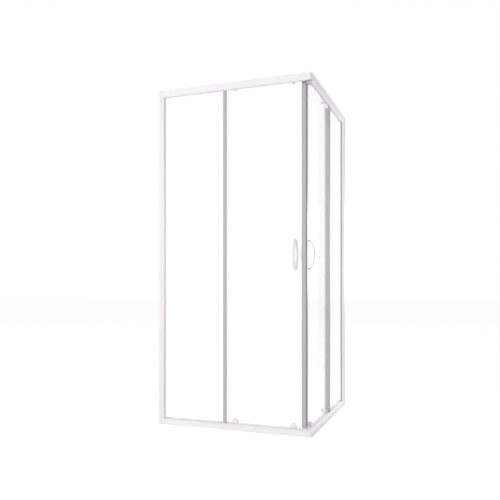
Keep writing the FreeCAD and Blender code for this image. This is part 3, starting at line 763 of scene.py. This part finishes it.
@dataclass
class RailFrame:
    """The two rails of a side, the joints at the corner and the parts at the wall."""

    extruder: Extruder
    wall: float = 1.5 * MM
    play: float = 0.3 * MM
    edge: float = 1.0 * MM
    small: float = 0.35 * MM
    corner: float = 36.0 * MM
    groove_depth: float = 14.0 * MM
    head_track_rise: float = 8.0 * MM
    inner_leg_rise: float = 3.0 * MM
    head_track_reach: float = 3.7 * MM
    bead_radius: float = 1.5 * MM
    sill_face: float = 26.0 * MM
    sill_bulge: float = 3.2 * MM
    rib_width: float = 2.5 * MM
    rib_height: float = 3.5 * MM
    boss_setback: float = 7.2 * MM
    boss_radius: float = 4.0 * MM
    boss_sink: float = 0.3 * MM
    bore_radius: float = 1.8 * MM
    gasket: float = 1.0 * MM
    mould_edge: float = 0.6 * MM

    @property
    def boss_rise(self) -> float:
        """Face of the wall that carries a screw channel to the channel's axis."""
        return self.boss_radius - self.boss_sink

    @property
    def boss_angle(self) -> float:
        """Angle at which a screw channel meets that wall, in degrees."""
        return math.degrees(math.asin(self.boss_rise / self.boss_radius))

    def lay_rail(self, leg: Leg, name: str, node: str, outlines: list[Outline]) -> None:
        """Draw a rail and install it, its end cut back past the corner joint.

        Args:
            leg: Side of the rail.
            name: Name of the piece without its side.
            node: Node name without its side.
            outlines: Its outline and holes in (s, z).
        """
        start, end = leg.box(node).t

        def mitre(work: Work) -> None:
            """Move the end's inner points back to the other rail's end."""
            for vert in work.verts:
                if vert.co.x < start + WELD and vert.co.y > self.corner:
                    vert.co.x = vert.co.y + self.play / 2

        mesh = self.extruder.draw(outlines, (start, end), "t", leg, POWDER_WHITE, mitre)
        install(f"{leg.value}_{name}", mesh, "frame", POWDER_WHITE, leg.node(node))

    def head_rail(self, leg: Leg) -> None:
        """The head rail: face, top, short back wall, glass groove, track with its bead."""
        rail, pane = leg.box("top_rail"), leg.box("fixed_glass")
        foot, top = rail.z
        depth, wall, small = rail.s[1], self.wall, self.small
        outer, inner = pane.s[0] - self.play, pane.s[1] + self.play
        roof = foot + self.groove_depth
        ledge = foot + self.head_track_rise + wall
        track = leg.box("lead_top_wheel").centre.y
        back = leg.box("door_glass").z[1] + self.edge
        reach = track + self.head_track_reach
        upper = (self.boss_setback, top - wall - self.boss_rise)
        lower = (self.boss_setback, foot + wall + self.boss_rise)
        turn = self.boss_angle
        line = Outline().to(0, foot, self.edge).to(0, top, self.edge).to(self.corner, top)
        line.to(depth, top, self.edge).to(depth, back, small).to(depth - wall, back, small)
        line.to(depth - wall, top - wall, small).to(self.corner, top - wall)
        line.arc(upper, self.boss_radius, turn, -180 - turn)
        line.to(wall, top - wall, small).to(wall, foot + wall, small)
        line.arc(lower, self.boss_radius, 180 + turn, -turn)
        line.to(outer - wall, foot + wall, small).to(outer - wall, roof + wall, small)
        line.to(inner + wall, roof + wall, small).to(inner + wall, ledge, small)
        line.arc((track, ledge), self.bead_radius, 180, 0).to(reach, ledge, small)
        line.to(reach, ledge - wall, small).to(inner + wall, ledge - wall, small)
        leg_foot = foot + self.inner_leg_rise
        line.to(inner + wall, leg_foot, small).to(inner, leg_foot, small).to(inner, roof, small)
        line.to(outer, roof, small).to(outer, foot, small)
        bores = [circle(*axis, self.bore_radius) for axis in (upper, lower)]
        self.lay_rail(leg, "head_rail", "top_rail", [line, *bores])

    def sill_rail(self, leg: Leg) -> None:
        """The sill rail: hollow body with a round shoulder, glass groove and guide rib."""
        rail, pane = leg.box("bottom_rail"), leg.box("fixed_glass")
        rib_top = rail.z[1]
        top = rib_top - self.rib_height
        depth, wall, small = rail.s[1], self.wall, self.small
        outer, inner = pane.s[0] - self.play, pane.s[1] + self.play
        floor = top - self.groove_depth
        guide = leg.box("lead_bottom_wheel").centre.y
        rib, rib_end = guide - self.rib_width / 2, guide + self.rib_width / 2
        line = Outline().to(0, 0, small).to(0, self.sill_face)
        line.bow(outer - wall, top, self.sill_bulge).to(outer, top, small)
        line.to(outer, floor, small).to(inner, floor, small).to(inner, top, small)
        line.to(rib, top, small).to(rib, rib_top, self.edge).to(rib_end, rib_top, self.edge)
        line.to(rib_end, top, small).to(self.corner, top).to(depth, top, self.edge)
        line.to(depth, 0, small).to(self.corner, 0)
        boss = (self.boss_setback, wall + self.boss_rise)
        turn = self.boss_angle
        hollow = Outline().to(wall, wall, small).arc(boss, self.boss_radius, 180 + turn, -turn)
        hollow.to(depth - wall, wall, small).to(depth - wall, top - wall, small)
        hollow.to(inner + wall, top - wall, small).to(inner + wall, floor - wall, small)
        hollow.to(outer - wall, floor - wall, small).to(outer - wall, top - wall)
        hollow.bow(wall, self.sill_face - wall / 2, -self.sill_bulge)
        bore = circle(*boss, self.bore_radius)
        self.lay_rail(leg, "sill_rail", "bottom_rail", [line, hollow, bore])

    def upright(self, leg: Leg) -> None:
        """The upright that holds the fixed pane, and the gasket round the pane's edge."""
        post, pane = leg.box("upright"), leg.box("fixed_glass")
        (start, end), (low, high) = post.t, post.s
        wall, small = self.wall, self.small
        near, far = pane.s[0] - self.gasket, pane.s[1] + self.gasket
        strip = leg.box("glazing_gaskets")
        floor = strip.t[1]
        line = Outline().to(start, low, self.edge).to(end, low, small).to(end, high, small)
        line.to(start, high, self.edge).to(start, far, small).to(floor, far, small)
        line.to(floor, near, small).to(start, near, small)
        hollow = Outline().to(start + wall, low + wall, small).to(end - wall, low + wall, small)
        hollow.to(end - wall, high - wall, small).to(floor + wall, high - wall, small)
        hollow.to(floor + wall, near - wall, small).to(start + wall, near - wall, small)
        mesh = self.extruder.draw([line, hollow], post.z, "z", leg, POWDER_WHITE)
        install(f"{leg.value}_upright_post", mesh, "frame", POWDER_WHITE, leg.node("upright"))
        lip = start + small
        web = pane.t[1]
        wrap = Outline().to(lip, near, small).to(floor, near, small).to(floor, far, small)
        wrap.to(lip, far, small).to(lip, pane.s[1], small).to(web, pane.s[1])
        wrap.to(web, pane.s[0]).to(lip, pane.s[0], small)
        mesh = self.extruder.draw([wrap], strip.z, "z", leg, GASKET_PALE)
        install(f"{leg.value}_pane_gasket", mesh, "frame", GASKET_PALE, "glazing_gaskets")

    def mouldings(self) -> None:
        """Corner joints, wall profiles, end caps, groove fillers and stops, with soft edges."""
        round_edge, small = self.mould_edge, self.small
        for node, name, width, finish in (
            ("top_corner_joint", "top_corner_moulding", round_edge, PLASTIC_WHITE),
            ("bottom_corner_joint", "bottom_corner_moulding", round_edge, PLASTIC_WHITE),
            ("front_wall_profile", "front_wall_channel", small, POWDER_WHITE),
            ("side_wall_profile", "side_wall_channel", small, POWDER_WHITE),
            ("profile_end_caps", "wall_channel_caps", round_edge, PLASTIC_WHITE),
            ("groove_fillers", "sill_groove_strips", small, PLASTIC_WHITE),
            ("door_stops", "track_stops", round_edge, RUBBER),
        ):
            mesh = softened(node, width, clamp=finish is not POWDER_WHITE)
            install(name, mesh, "frame", finish, node)

    def build(self) -> None:
        """Make the frame's pieces on both sides."""
        for leg in Leg:
            self.head_rail(leg)
            self.sill_rail(leg)
            self.upright(leg)
        self.mouldings()


@dataclass
class Panes:
    """The fixed pane and the door pane of each side, with arrised edges."""

    arris: float = 0.9 * MM
    facing: float = 0.9

    def pane(self, leg: Leg, name: str, body: str) -> None:
        """One pane: clear faces and a ground edge.

        Args:
            leg: Side of the pane.
            name: Node name without its side.
            body: Body that it rides on.
        """
        node = leg.node(name)
        mesh = softened(node, self.arris)
        mesh.materials.clear()
        for finish in (GLASS_CLEAR, GLASS_EDGE):
            mesh.materials.append(finish.material())
        across = leg.to_row.to_3x3() @ Vector((0, 1, 0))
        for face in mesh.polygons:
            face.material_index = int(abs(face.normal.dot(across)) <= self.facing)
        install(f"{node}_pane", mesh, body, GLASS_CLEAR, node)

    def build(self) -> None:
        """Make the four panes."""
        for leg in Leg:
            self.pane(leg, "fixed_glass", "frame")
            self.pane(leg, "door_glass", leg.door)


@dataclass
class SealStrips:
    """Clip-on strips, a fin on each door, and the mitred magnetic strips at the corner."""

    extruder: Extruder
    round_nose: float = 1.3 * MM
    small: float = 0.3 * MM
    groove_width: float = 1.2 * MM
    groove_depth: float = 0.45 * MM
    clip_grooves: tuple[float, ...] = (0.25, 0.5, 0.75)
    magnet_grooves: tuple[float, ...] = (0.15, 0.55)
    fin_root: float = 0.6 * MM
    fin_tip_share: float = 0.55
    fin_thickness: float = 1.2 * MM
    fin_inset: float = 8.0 * MM
    fin_rail_gap: float = 1.5 * MM
    magnet_width: float = 6.2 * MM
    magnet_thickness: float = 2.2 * MM
    head_rise: float = 6.0 * MM
    cheek: float = 2.0 * MM
    head_gap: float = 2.0 * MM
    notch_mouth: float = 4.3 * MM
    notch_root: float = 8.3 * MM

    def grooves(self, line: Outline, face: float, inwards: float, places: Sequence[float]) -> None:
        """Press shallow lines into a strip's face, in the order of places."""
        half = math.copysign(self.groove_width / 2, places[-1] - places[0])
        for place in places:
            line.to(place - half, face, self.small)
            line.to(place, face + inwards * self.groove_depth, self.small)
            line.to(place + half, face, self.small)

    def clip(self, box: Box, pane: Box, outwards: int, cheek: float = 0.0) -> Outline:
        """Outline of a clip round a pane's edge.

        Args:
            box: Box of the strip.
            pane: Box of the pane.
            outwards: 1 where the clip's closed end has the larger t, -1 where the smaller.
            cheek: Extra thickness outside the pane.

        Returns:
            The outline in (t, s).
        """
        small = self.small
        mouth, nose = box.t[::outwards]
        edge = pane.t[outwards > 0]
        thick = min(box.s[1] - pane.s[1], pane.s[0] - box.s[0])
        low, high = pane.s[0] - thick - cheek, pane.s[1] + thick
        lip = mouth + outwards * small
        lines = [nose + (mouth - nose) * share for share in self.clip_grooves]
        line = Outline().to(nose, high, self.round_nose).to(nose, low, self.round_nose)
        self.grooves(line, low, 1, lines)
        line.to(mouth, low + small, small).to(lip, pane.s[0], small).to(edge, pane.s[0])
        line.to(edge, pane.s[1]).to(lip, pane.s[1], small).to(mouth, high - small, small)
        self.grooves(line, high, -1, lines[::-1])
        return line

    def between_rails(self, leg: Leg, gap: float) -> Span:
        """Heights of a piece that leaves a gap to both rails."""
        return leg.box("bottom_rail").z[1] + gap, leg.box("top_rail").z[0] - gap

    def fixed(self, leg: Leg) -> None:
        """Strip at the fixed pane's free edge."""
        box = leg.box("fixed_seals")
        clip = self.clip(box, leg.box("fixed_glass"), -1, self.cheek)
        mesh = self.extruder.draw([clip], box.z, "z", leg, SEAL_GREY)
        install(f"{leg.value}_fixed_pane_strip", mesh, "frame", SEAL_GREY, "fixed_seals")

    def trailing(self, leg: Leg) -> None:
        """Strip at the door's trailing edge, and its fin, which tapers to a round tip."""
        box, pane = leg.box("door_seal"), leg.box("door_glass")
        root, tip = pane.s[0] - self.fin_root, box.s[0]
        half = self.fin_thickness / 2
        middle = box.t[1] - self.fin_inset - half
        thin = half * self.fin_tip_share
        fin = Outline().to(middle - half, root).to(middle + half, root)
        fin.to(middle + thin, tip, thin).to(middle - thin, tip, thin)
        for name, outline, span, finish in (
            ("clip", self.clip(box, pane, 1), box.z, SEAL_CLEAR),
            # The fin takes the lighter grey, painted light over the shade it stands in.
            ("lip", fin, self.between_rails(leg, self.fin_rail_gap), SEAL_LIP_PAINTED_LIGHT),
        ):
            mesh = self.extruder.draw([outline], span, "z", leg, finish)
            node = leg.node("door_seal")
            install(f"{leg.value}_trailing_{name}", mesh, leg.door, finish, node)

    def magnetic(self, leg: Leg) -> None:
        """Mitred strip at the door's closing edge, and the magnet in it."""
        box, pane = leg.box("magnet_seal"), leg.box("door_glass")
        small = self.small
        edge, back = pane.t[0], box.t[1]
        low, high = box.s
        slip = box.t[0] - low
        lines = [edge + (back - edge) * share for share in self.magnet_grooves]
        face = low - self.head_rise
        root = face + self.notch_root
        lean = (self.notch_root - self.notch_mouth) / (self.notch_root - slip)
        shoulder = face + self.notch_mouth + lean * self.head_rise
        line = Outline().to(root, root - slip, small).to(shoulder, low, small)
        line.to(back, low + small, small).to(back, pane.s[0], small).to(edge, pane.s[0])
        line.to(edge, pane.s[1]).to(back, pane.s[1], small).to(back, high - small, small)
        self.grooves(line, high, -1, lines[::-1])
        line.to(high + slip, high, small)
        centre = leg.box("seal_magnet").centre
        pocket = Outline()
        wide, thin = self.magnet_width / 2, self.magnet_thickness / 2
        for a, b in ((-wide, -thin), (wide, -thin), (wide, thin), (-wide, thin)):
            pocket.to(centre.x + (a + b) * math.sqrt(0.5), centre.y + (a - b) * math.sqrt(0.5))
        body = self.extruder.draw([line, pocket], box.z, "z", leg, SEAL_GREY)
        head = Outline().to(back, low).to(shoulder, low).to(face + self.notch_mouth, face, small)
        self.grooves(head, face, 1, lines)
        head.to(back, face, self.round_nose)
        span = self.between_rails(leg, self.head_gap)
        strip = joined([body, self.extruder.draw([head], span, "z", leg, SEAL_GREY)])
        node = leg.node("magnet_seal")
        install(f"{leg.value}_magnet_strip", strip, leg.door, SEAL_GREY, node)
        node = leg.node("seal_magnet")
        install(f"{leg.value}_magnet_bar", softened(node, small), leg.door, FERRITE, node)

    def build(self) -> None:
        """Make the strips of both sides."""
        for leg in Leg:
            self.fixed(leg)
            self.trailing(leg)
            self.magnetic(leg)


@dataclass
class BowHandles:
    """Moulded bow handles outside and inside each door, on two round feet.

    A handle is formed in (t, out, z), from the glass and from the middle of its height.
    """

    width: float = 14.0 * MM
    middle_thickness: float = 9.0 * MM
    end_thickness: float = 6.0 * MM
    end_reach: float = 9.0 * MM
    end_depth_share: float = 0.35
    squareness: float = 0.75
    rings: int = 72
    sides: int = 32
    foot_radius: float = 6.4 * MM
    foot_cover: float = 2.5 * MM
    foot_sides: int = 40
    flare: float = 0.6 * MM
    flare_edge: float = 0.4 * MM
    flare_foot: float = 1.4 * MM
    flare_top: float = 3.2 * MM
    screw_spacing: float = 150.0 * MM
    grain: float = 0.7 * MM
    easing: float = 0.5
    easing_rounds: int = 8

    def crest(self, height: float, reach: float, z: float) -> float:
        """Distance of the bow's outer face from the glass at a height from its middle."""
        rise = reach - self.end_reach
        radius = ((height / 2) ** 2 + rise**2) / (2 * rise)
        return math.sqrt(radius**2 - z**2) - radius + reach

    def strap(self, height: float, reach: float) -> Iterator[list[Triple]]:
        """Rings of a rounded section along the bow's arc, closing at its round ends.

        Args:
            height: Height of the handle.
            reach: How far its middle stands out from the glass.

        Yields:
            The places of one ring.
        """
        half, cap = height / 2, self.width / 2

        def squared(bend: float, size: float) -> float:
            """A sine or cosine drawn towards a square's, times a size."""
            return math.copysign(abs(bend) ** self.squareness, bend) * size

        for i in range(self.rings + 1):
            z = half * math.sin(math.pi * (i / self.rings - 0.5))
            share = 1 - (z / half) ** 2
            thick = self.end_thickness + (self.middle_thickness - self.end_thickness) * share
            beyond = max(0.0, abs(z) - (half - cap)) / cap
            close = math.sqrt(max(0.0, 1 - beyond**2))
            flat = self.end_depth_share
            deep = thick / 2 * (flat + (1 - flat) * math.sqrt(close)) if close > 0 else 0.0
            middle = self.crest(height, reach, z) - thick / 2
            yield [
                (squared(math.cos(a), cap * close), middle + squared(math.sin(a), deep), z)
                for a in turns(self.sides)
            ]

    def foot(self, z: float, height: float, reach: float) -> Iterator[list[Triple]]:
        """Rings of a round foot from the glass into the bow, flared at the glass.

        Args:
            z: Height of the foot's axis.
            height: Height of the handle.
            reach: How far the handle stands out from the glass.

        Yields:
            The places of one ring.
        """
        wide, slim = self.foot_radius + self.flare, self.foot_radius
        profile = (
            (0.0, 0.0),
            (wide - self.flare_edge, 0.0),
            (wide, self.flare_edge),
            (wide, self.flare_foot),
            (slim, self.flare_top),
            (slim, reach),
            (0.0, reach),
        )
        for radius, out in profile:
            ring = []
            for angle in turns(self.foot_sides):
                level = z + radius * math.sin(angle)
                inside = min(out, self.crest(height, reach, level) - self.foot_cover)
                ring.append((radius * math.cos(angle), inside, level))
            yield ring

    def form(self, height: float, reach: float) -> Mesh:
        """One handle, its bow and feet grown together as in a mould."""

        def shapes(work: Work) -> None:
            """Add the bow and the feet."""
            loft(work, self.strap(height, reach))
            for z in (-self.screw_spacing / 2, self.screw_spacing / 2):
                loft(work, self.foot(z, height, reach))

        holder = linked("handle_holder", reshaped(bpy.data.meshes.new("handle"), shapes))
        skin = holder.modifiers.new("skin", "REMESH")
        skin.mode, skin.voxel_size = "VOXEL", self.grain
        ease = holder.modifiers.new("ease", "SMOOTH")
        ease.factor, ease.iterations = self.easing, self.easing_rounds
        return evaluated(holder)

    def build(self) -> None:
        """Make the four handles."""
        outer = Leg.FRONT.box("outer_handle")
        reach = Leg.FRONT.box("door_glass").s[0] - outer.s[0]
        pattern = self.form(outer.z[1] - outer.z[0], reach)
        for leg in Leg:
            pane = leg.box("door_glass")
            for name, face, way in (("outer", pane.s[0], -1), ("inner", pane.s[1], 1)):
                node = leg.node(f"{name}_handle")
                centre = leg.box(f"{name}_handle").centre
                place = Matrix.Translation((centre.x, face, centre.z))
                place = leg.to_row @ place @ Matrix.Diagonal((1, way, 1, 1))
                mesh = reshaped(pattern.copy(), lambda work: work.transform(place))
                mesh.shade_smooth()
                install(f"{node}_bow", mesh, leg.door, PLASTIC_GLOSS, node)


@dataclass
class Rollers:
    """Roller housings, wheels, axles, carriages and springs of a door."""

    mould_edge: float = 0.8 * MM
    small: float = 0.3 * MM
    spring_turns: float = 4.0
    spring_wire: float = 0.35 * MM
    release_travel: float = 3.5 * MM
    springs: GeometryTree = field(default_factory=lambda: Rollers.spring_tree())

    @staticmethod
    def spring_tree(turn_sides: int = 28, wire_sides: int = 12) -> GeometryTree:
        """Tree that stands a coil spring on each point of a mesh."""
        tree = GeometryTree("coil_springs", "Turns", "Radius", "Wire", "Rise")
        radius = tree.given("Radius")
        inputs = {"Rotations": tree.given("Turns"), "Height": tree.given("Rise")}
        inputs |= {"Resolution": turn_sides, "Start Radius": radius, "End Radius": radius}
        coil = tree.node("GeometryNodeCurveSpiral", inputs)
        inputs = {"Resolution": wire_sides, "Radius": tree.given("Wire")}
        section = tree.node("GeometryNodeCurvePrimitiveCircle", inputs)
        inputs = {"Curve": coil, "Profile Curve": section, "Fill Caps": True}
        wire = tree.node("GeometryNodeCurveToMesh", inputs)
        inputs = {"Points": tree.given("Geometry"), "Instance": wire}
        return tree.close(tree.node("GeometryNodeInstanceOnPoints", inputs))

    def release_springs(self, leg: Leg, end: str) -> None:
        """The two springs over a release carriage."""
        node = leg.node(f"{end}_release_springs")
        box = leg.box(f"{end}_release_springs")
        wire, inset = self.spring_wire, (box.s[1] - box.s[0]) / 2
        height = box.z[1] - box.z[0]
        seats = bpy.data.meshes.new("spring_seats")
        places = (box.t[0] + inset, box.t[1] - inset)
        seats.from_pydata([(t, box.centre.y, box.z[0] + wire) for t in places], [], [])
        sizes = {"Turns": self.spring_turns, "Radius": inset - wire, "Wire": wire}
        mesh = self.springs.run(seats, SPRING_WIRE, {**sizes, "Rise": height - 2 * wire})
        mesh = reshaped(mesh, lambda work: work.transform(leg.to_row))
        mesh.shade_smooth()
        install(f"{node}_coils", mesh, leg.door, SPRING_WIRE, node)
        top = leg.to_row @ Vector((box.centre.x, box.centre.y, box.z[1]))
        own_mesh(bpy.data.objects[f"{node}_coils"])

    def build(self) -> None:
        """Make the rollers of both doors."""
        kinds = (
            ("top_housing", self.mould_edge, PLASTIC_WHITE),
            ("bottom_housing", self.small, PLASTIC_WHITE),
            ("top_wheel", self.small, NYLON),
            ("bottom_wheel", self.small, NYLON),
            ("release_carriage", self.small, PLASTIC_WHITE),
        )
        for leg in Leg:
            for end in ("lead", "trail"):
                for kind, width, finish in kinds:
                    node = leg.node(f"{end}_{kind}")
                    body = leg.door if "housing" in kind else node
                    mesh = softened(node, width, clamp=kind != "bottom_housing")
                    install(f"{node}_part", mesh, body, finish, node)
                self.release_springs(leg, end)
            for name in ("top_axles", "handle_studs"):
                node = leg.node(name)
                install(f"{node}_pins", softened(node, self.small), leg.door, STEEL, node)


@dataclass
class Fasteners:
    """Pan-head screws of the frame, set out by a tree, and the capped screws of the rollers."""

    head_radius: float = 3.5 * MM
    head_top: float = 2.8 * MM
    head_height: float = 2.4 * MM
    shank_radius: float = 1.75 * MM
    shank_length: float = 14.0 * MM
    shank_bite: float = 0.3 * MM
    recess_width: float = 0.9 * MM
    recess_reach: float = 2.0 * MM
    recess_depth: float = 1.3 * MM

    def screw_tree(self, head_sides: int = 28, shank_sides: int = 20) -> GeometryTree:
        """Tree that sets a cross-recessed screw on each point, its head towards the facing."""
        tree = GeometryTree("frame_screws", *vars(self))
        given, solver = tree.given, {"solver": "EXACT"}
        height = given("head_height")
        inputs = {"Radius Top": given("head_top"), "Radius Bottom": given("head_radius")}
        inputs |= {"Vertices": head_sides, "Depth": height}
        head = tree.node("GeometryNodeMeshCone", inputs)
        length, bite = given("shank_length"), given("shank_bite")
        inputs = {"Radius": given("shank_radius"), "Depth": length + bite}
        shank = tree.node("GeometryNodeMeshCylinder", {**inputs, "Vertices": shank_sides})
        shank = tree.moved(shank, bite * 0.5 + length * -0.5)
        bars = []
        for long, short in (("X", "Y"), ("Y", "X")):
            inputs = {long: given("recess_reach") * 2, short: given("recess_width")}
            size = tree.node("ShaderNodeCombineXYZ", {**inputs, "Z": given("recess_depth") * 2})
            bars.append(tree.moved(tree.node("GeometryNodeMeshCube", {"Size": size}), height))
        boolean, parts = "GeometryNodeMeshBoolean", {"Mesh 2": [head, shank]}
        whole = tree.node(boolean, parts, operation="UNION", **solver)
        parts = {"Mesh 1": whole, "Mesh 2": bars}
        screw = tree.node(boolean, parts, operation="DIFFERENCE", **solver)
        attribute = "GeometryNodeInputNamedAttribute"
        facing = tree.node(attribute, {"Name": "facing"}, data_type="FLOAT_VECTOR")
        turn = tree.node("FunctionNodeAlignRotationToVector", {"Vector": facing}, axis="Z")
        inputs = {"Points": given("Geometry"), "Instance": screw, "Rotation": turn}
        return tree.close(tree.node("GeometryNodeInstanceOnPoints", inputs))

    def seat(self, places: list[Vector]) -> tuple[Vector, Vector]:
        """Where a screw's head bears, and the way that it faces, from the screw's places."""
        low, high = (Vector([pick(p[i] for p in places) for i in range(3)]) for pick in (min, max))
        centre = (low + high) / 2
        axis = max(range(3), key=lambda i: high[i] - low[i])
        facing = Vector([float(i == axis) for i in range(3)])
        rim = (self.head_radius + self.shank_radius) / 2
        head = [p[axis] for p in places if (p - centre).cross(facing).length > rim]
        if sum(head) / len(head) < centre[axis]:
            facing.negate()
        centre[axis] = min(head) if facing[axis] > 0 else max(head)
        return centre, facing

    def seats(self, node: str) -> list[tuple[Vector, Vector]]:
        """Seats of a CAD node's screws, each a shell of its own, in the order of their places."""
        work = bmesh.new()
        work.from_mesh(frame["nodes"][node].data)
        bmesh.ops.remove_doubles(work, verts=work.verts, dist=WELD)
        found = []
        left = set(work.verts)
        while left:
            queue, shell = [left.pop()], []
            while queue:
                vert = queue.pop()
                shell.append(vert.co.copy())
                near = {edge.other_vert(vert) for edge in vert.link_edges} & left
                left -= near
                queue.extend(near)
            found.append(self.seat(shell))
        work.free()
        return sorted(found, key=lambda seat: seat[0].to_tuple(5))

    def frame_screws(self) -> None:
        """Set the frame's screws on their seats."""
        seats = self.seats("frame_screws")
        points = bpy.data.meshes.new("screw_seats")
        points.from_pydata([tuple(place) for place, _ in seats], [], [])
        facing = points.attributes.new("facing", "FLOAT_VECTOR", "POINT")
        for item, (_, way) in zip(facing.data, seats):
            item.vector = way
        mesh = creased(self.screw_tree().run(points, STEEL, vars(self)))
        install("frame_screw_set", mesh, "frame", STEEL, "frame_screws")

    def build(self, cap_edge: float = 0.4 * MM) -> None:
        """Make the screws of the frame and the caps of the rollers."""
        self.frame_screws()
        for leg in Leg:
            node = leg.node("roller_cap_screws")
            install(f"{node}_set", softened(node, cap_edge), leg.door, PLASTIC_WHITE, node)


@dataclass(frozen=True)
class Lamp:
    """A square lamp: its place, width and power in watts."""

    name: str
    place: Triple
    size: float
    power: float


@dataclass
class Studio:
    """Camera at the photograph's place, plain light, and a floor that melts into white."""

    place: Triple = (1.1958, -3.4234, 0.7867)
    turn: float = 20.10
    lens: float = 42.29
    sensor: float = 36.0
    shift: float = 0.0724
    near: float = 0.1
    far: float = 100.0
    ambient: float = 0.52
    tint: Triple = (1.0, 0.985, 1.0)
    floor_reach: float = 30.0
    floor_drop: float = 0.1 * MM
    floor_lumps: float = 400 * MM
    floor_dark: Triple = (0.88, 0.88, 0.88)
    floor_light: Triple = (0.9, 0.9, 0.9)
    floor_shown: Triple = (0.3, 0.3, 0.3)
    floor_glow: float = 0.82
    lamps: tuple[Lamp, ...] = (
        Lamp("key_lamp", (-3.6, -8.5, 1.6), 5.0, 395.0),
        Lamp("back_lamp", (1.15, 1.45, 1.1), 0.8, 15.0),
        Lamp("top_lamp", (0.0, 0.0, 10.0), 6.0, 170.0),
    )

    def camera(self) -> None:
        """The level camera that the photograph was taken with."""
        data = bpy.data.cameras.new("camera")
        data.lens, data.sensor_width, data.shift_y = self.lens, self.sensor, self.shift
        data.clip_start, data.clip_end = self.near, self.far
        camera = bpy.data.objects.new("camera", data)
        camera.location = self.place
        camera.rotation_euler = (math.radians(90), 0, math.radians(self.turn))
        bpy.context.scene.collection.objects.link(camera)
        bpy.context.scene.camera = camera

    def where_seen(self, graph: NodeGraph, hidden: Signal, seen: Signal) -> Signal:
        """One shader for light that bounces, another where the background shows."""
        return graph.mix(graph.rays("Camera", "Glossy", "Transmission"), hidden, seen)

    def world(self) -> None:
        """White where it is seen, a plain grey where it lights."""
        world = bpy.context.scene.world = bpy.data.worlds.new("studio")
        graph = emptied(world)
        dim, white = (
            graph.node("ShaderNodeBackground", {"Color": colour, "Strength": strength})
            for colour, strength in ((self.tint, self.ambient), (WHITE, 1.0))
        )
        graph.node("ShaderNodeOutputWorld", {"Surface": self.where_seen(graph, dim, white)})

    def light(self, lamp: Lamp) -> None:
        """Set up a lamp that looks at the middle of the object and can't be seen itself."""
        data = bpy.data.lights.new(lamp.name, "AREA")
        data.size, data.energy, data.color = lamp.size, lamp.power, self.tint
        made = bpy.data.objects.new(lamp.name, data)
        made.location = lamp.place
        made.visible_camera = made.visible_transmission = False
        target = Vector((0, 0, (CAD_BOX[0].z + CAD_BOX[1].z) / 2))
        made.rotation_euler = (target - made.location).to_track_quat("-Z", "Y").to_euler()
        bpy.context.scene.collection.objects.link(made)

    def floor(self) -> None:
        """A pale floor that keeps a soft shadow and reads as white."""
        mesh = bpy.data.meshes.new("floor")
        z = CAD_BOX[0].z - self.floor_drop
        signs = ((-1, -1), (1, -1), (1, 1), (-1, 1))
        corners = [(x * self.floor_reach, y * self.floor_reach, z) for x, y in signs]
        mesh.from_pydata(corners, [], [(0, 1, 2, 3)])
        material = bpy.data.materials.new("floor")
        graph = emptied(material)
        tone = graph.blend(graph.noise(self.floor_lumps), self.floor_dark, self.floor_light)
        paint = graph.node("ShaderNodeBsdfDiffuse", {"Color": tone})
        soft = graph.node("ShaderNodeBsdfDiffuse", {"Color": self.floor_shown})
        glow = graph.node("ShaderNodeEmission", {"Color": WHITE, "Strength": self.floor_glow})
        shown = graph.node("ShaderNodeAddShader", {0: soft, 1: glow})
        surface = self.where_seen(graph, paint, shown)
        graph.node("ShaderNodeOutputMaterial", {"Surface": surface})
        mesh.materials.append(material)
        linked("floor", mesh)

    def build(self) -> None:
        """Set the studio up."""
        bpy.context.scene.view_settings.view_transform = "Standard"
        self.camera()
        self.world()
        for lamp in self.lamps:
            self.light(lamp)
        self.floor()


def dress_rest() -> None:
    """Give every CAD node that still shows the finish of its slot."""
    solid = (POWDER_WHITE, PLASTIC_WHITE, NYLON, STEEL, SPRING_WIRE, FERRITE, RUBBER)
    finishes = {finish.slot.value: finish for finish in (*solid, GLASS_CLEAR, SEAL_GREY)}
    slots = {part["node"]: part["material_slot"] for part in frame["record"]["subparts"]}
    for name, node in frame["nodes"].items():
        node.data.materials.clear()
        node.data.materials.append(finishes[slots[name]].material())


def main() -> None:
    """Build the pieces in order."""
    logging.basicConfig(level=logging.INFO, format="%(message)s")
    dress_rest()
    extruder = Extruder()
    Studio().build()
    RailFrame(extruder).build()
    Panes().build()
    SealStrips(extruder).build()
    BowHandles().build()
    Rollers().build()
    Fasteners().build()


if __name__ == "__main__":
    main()
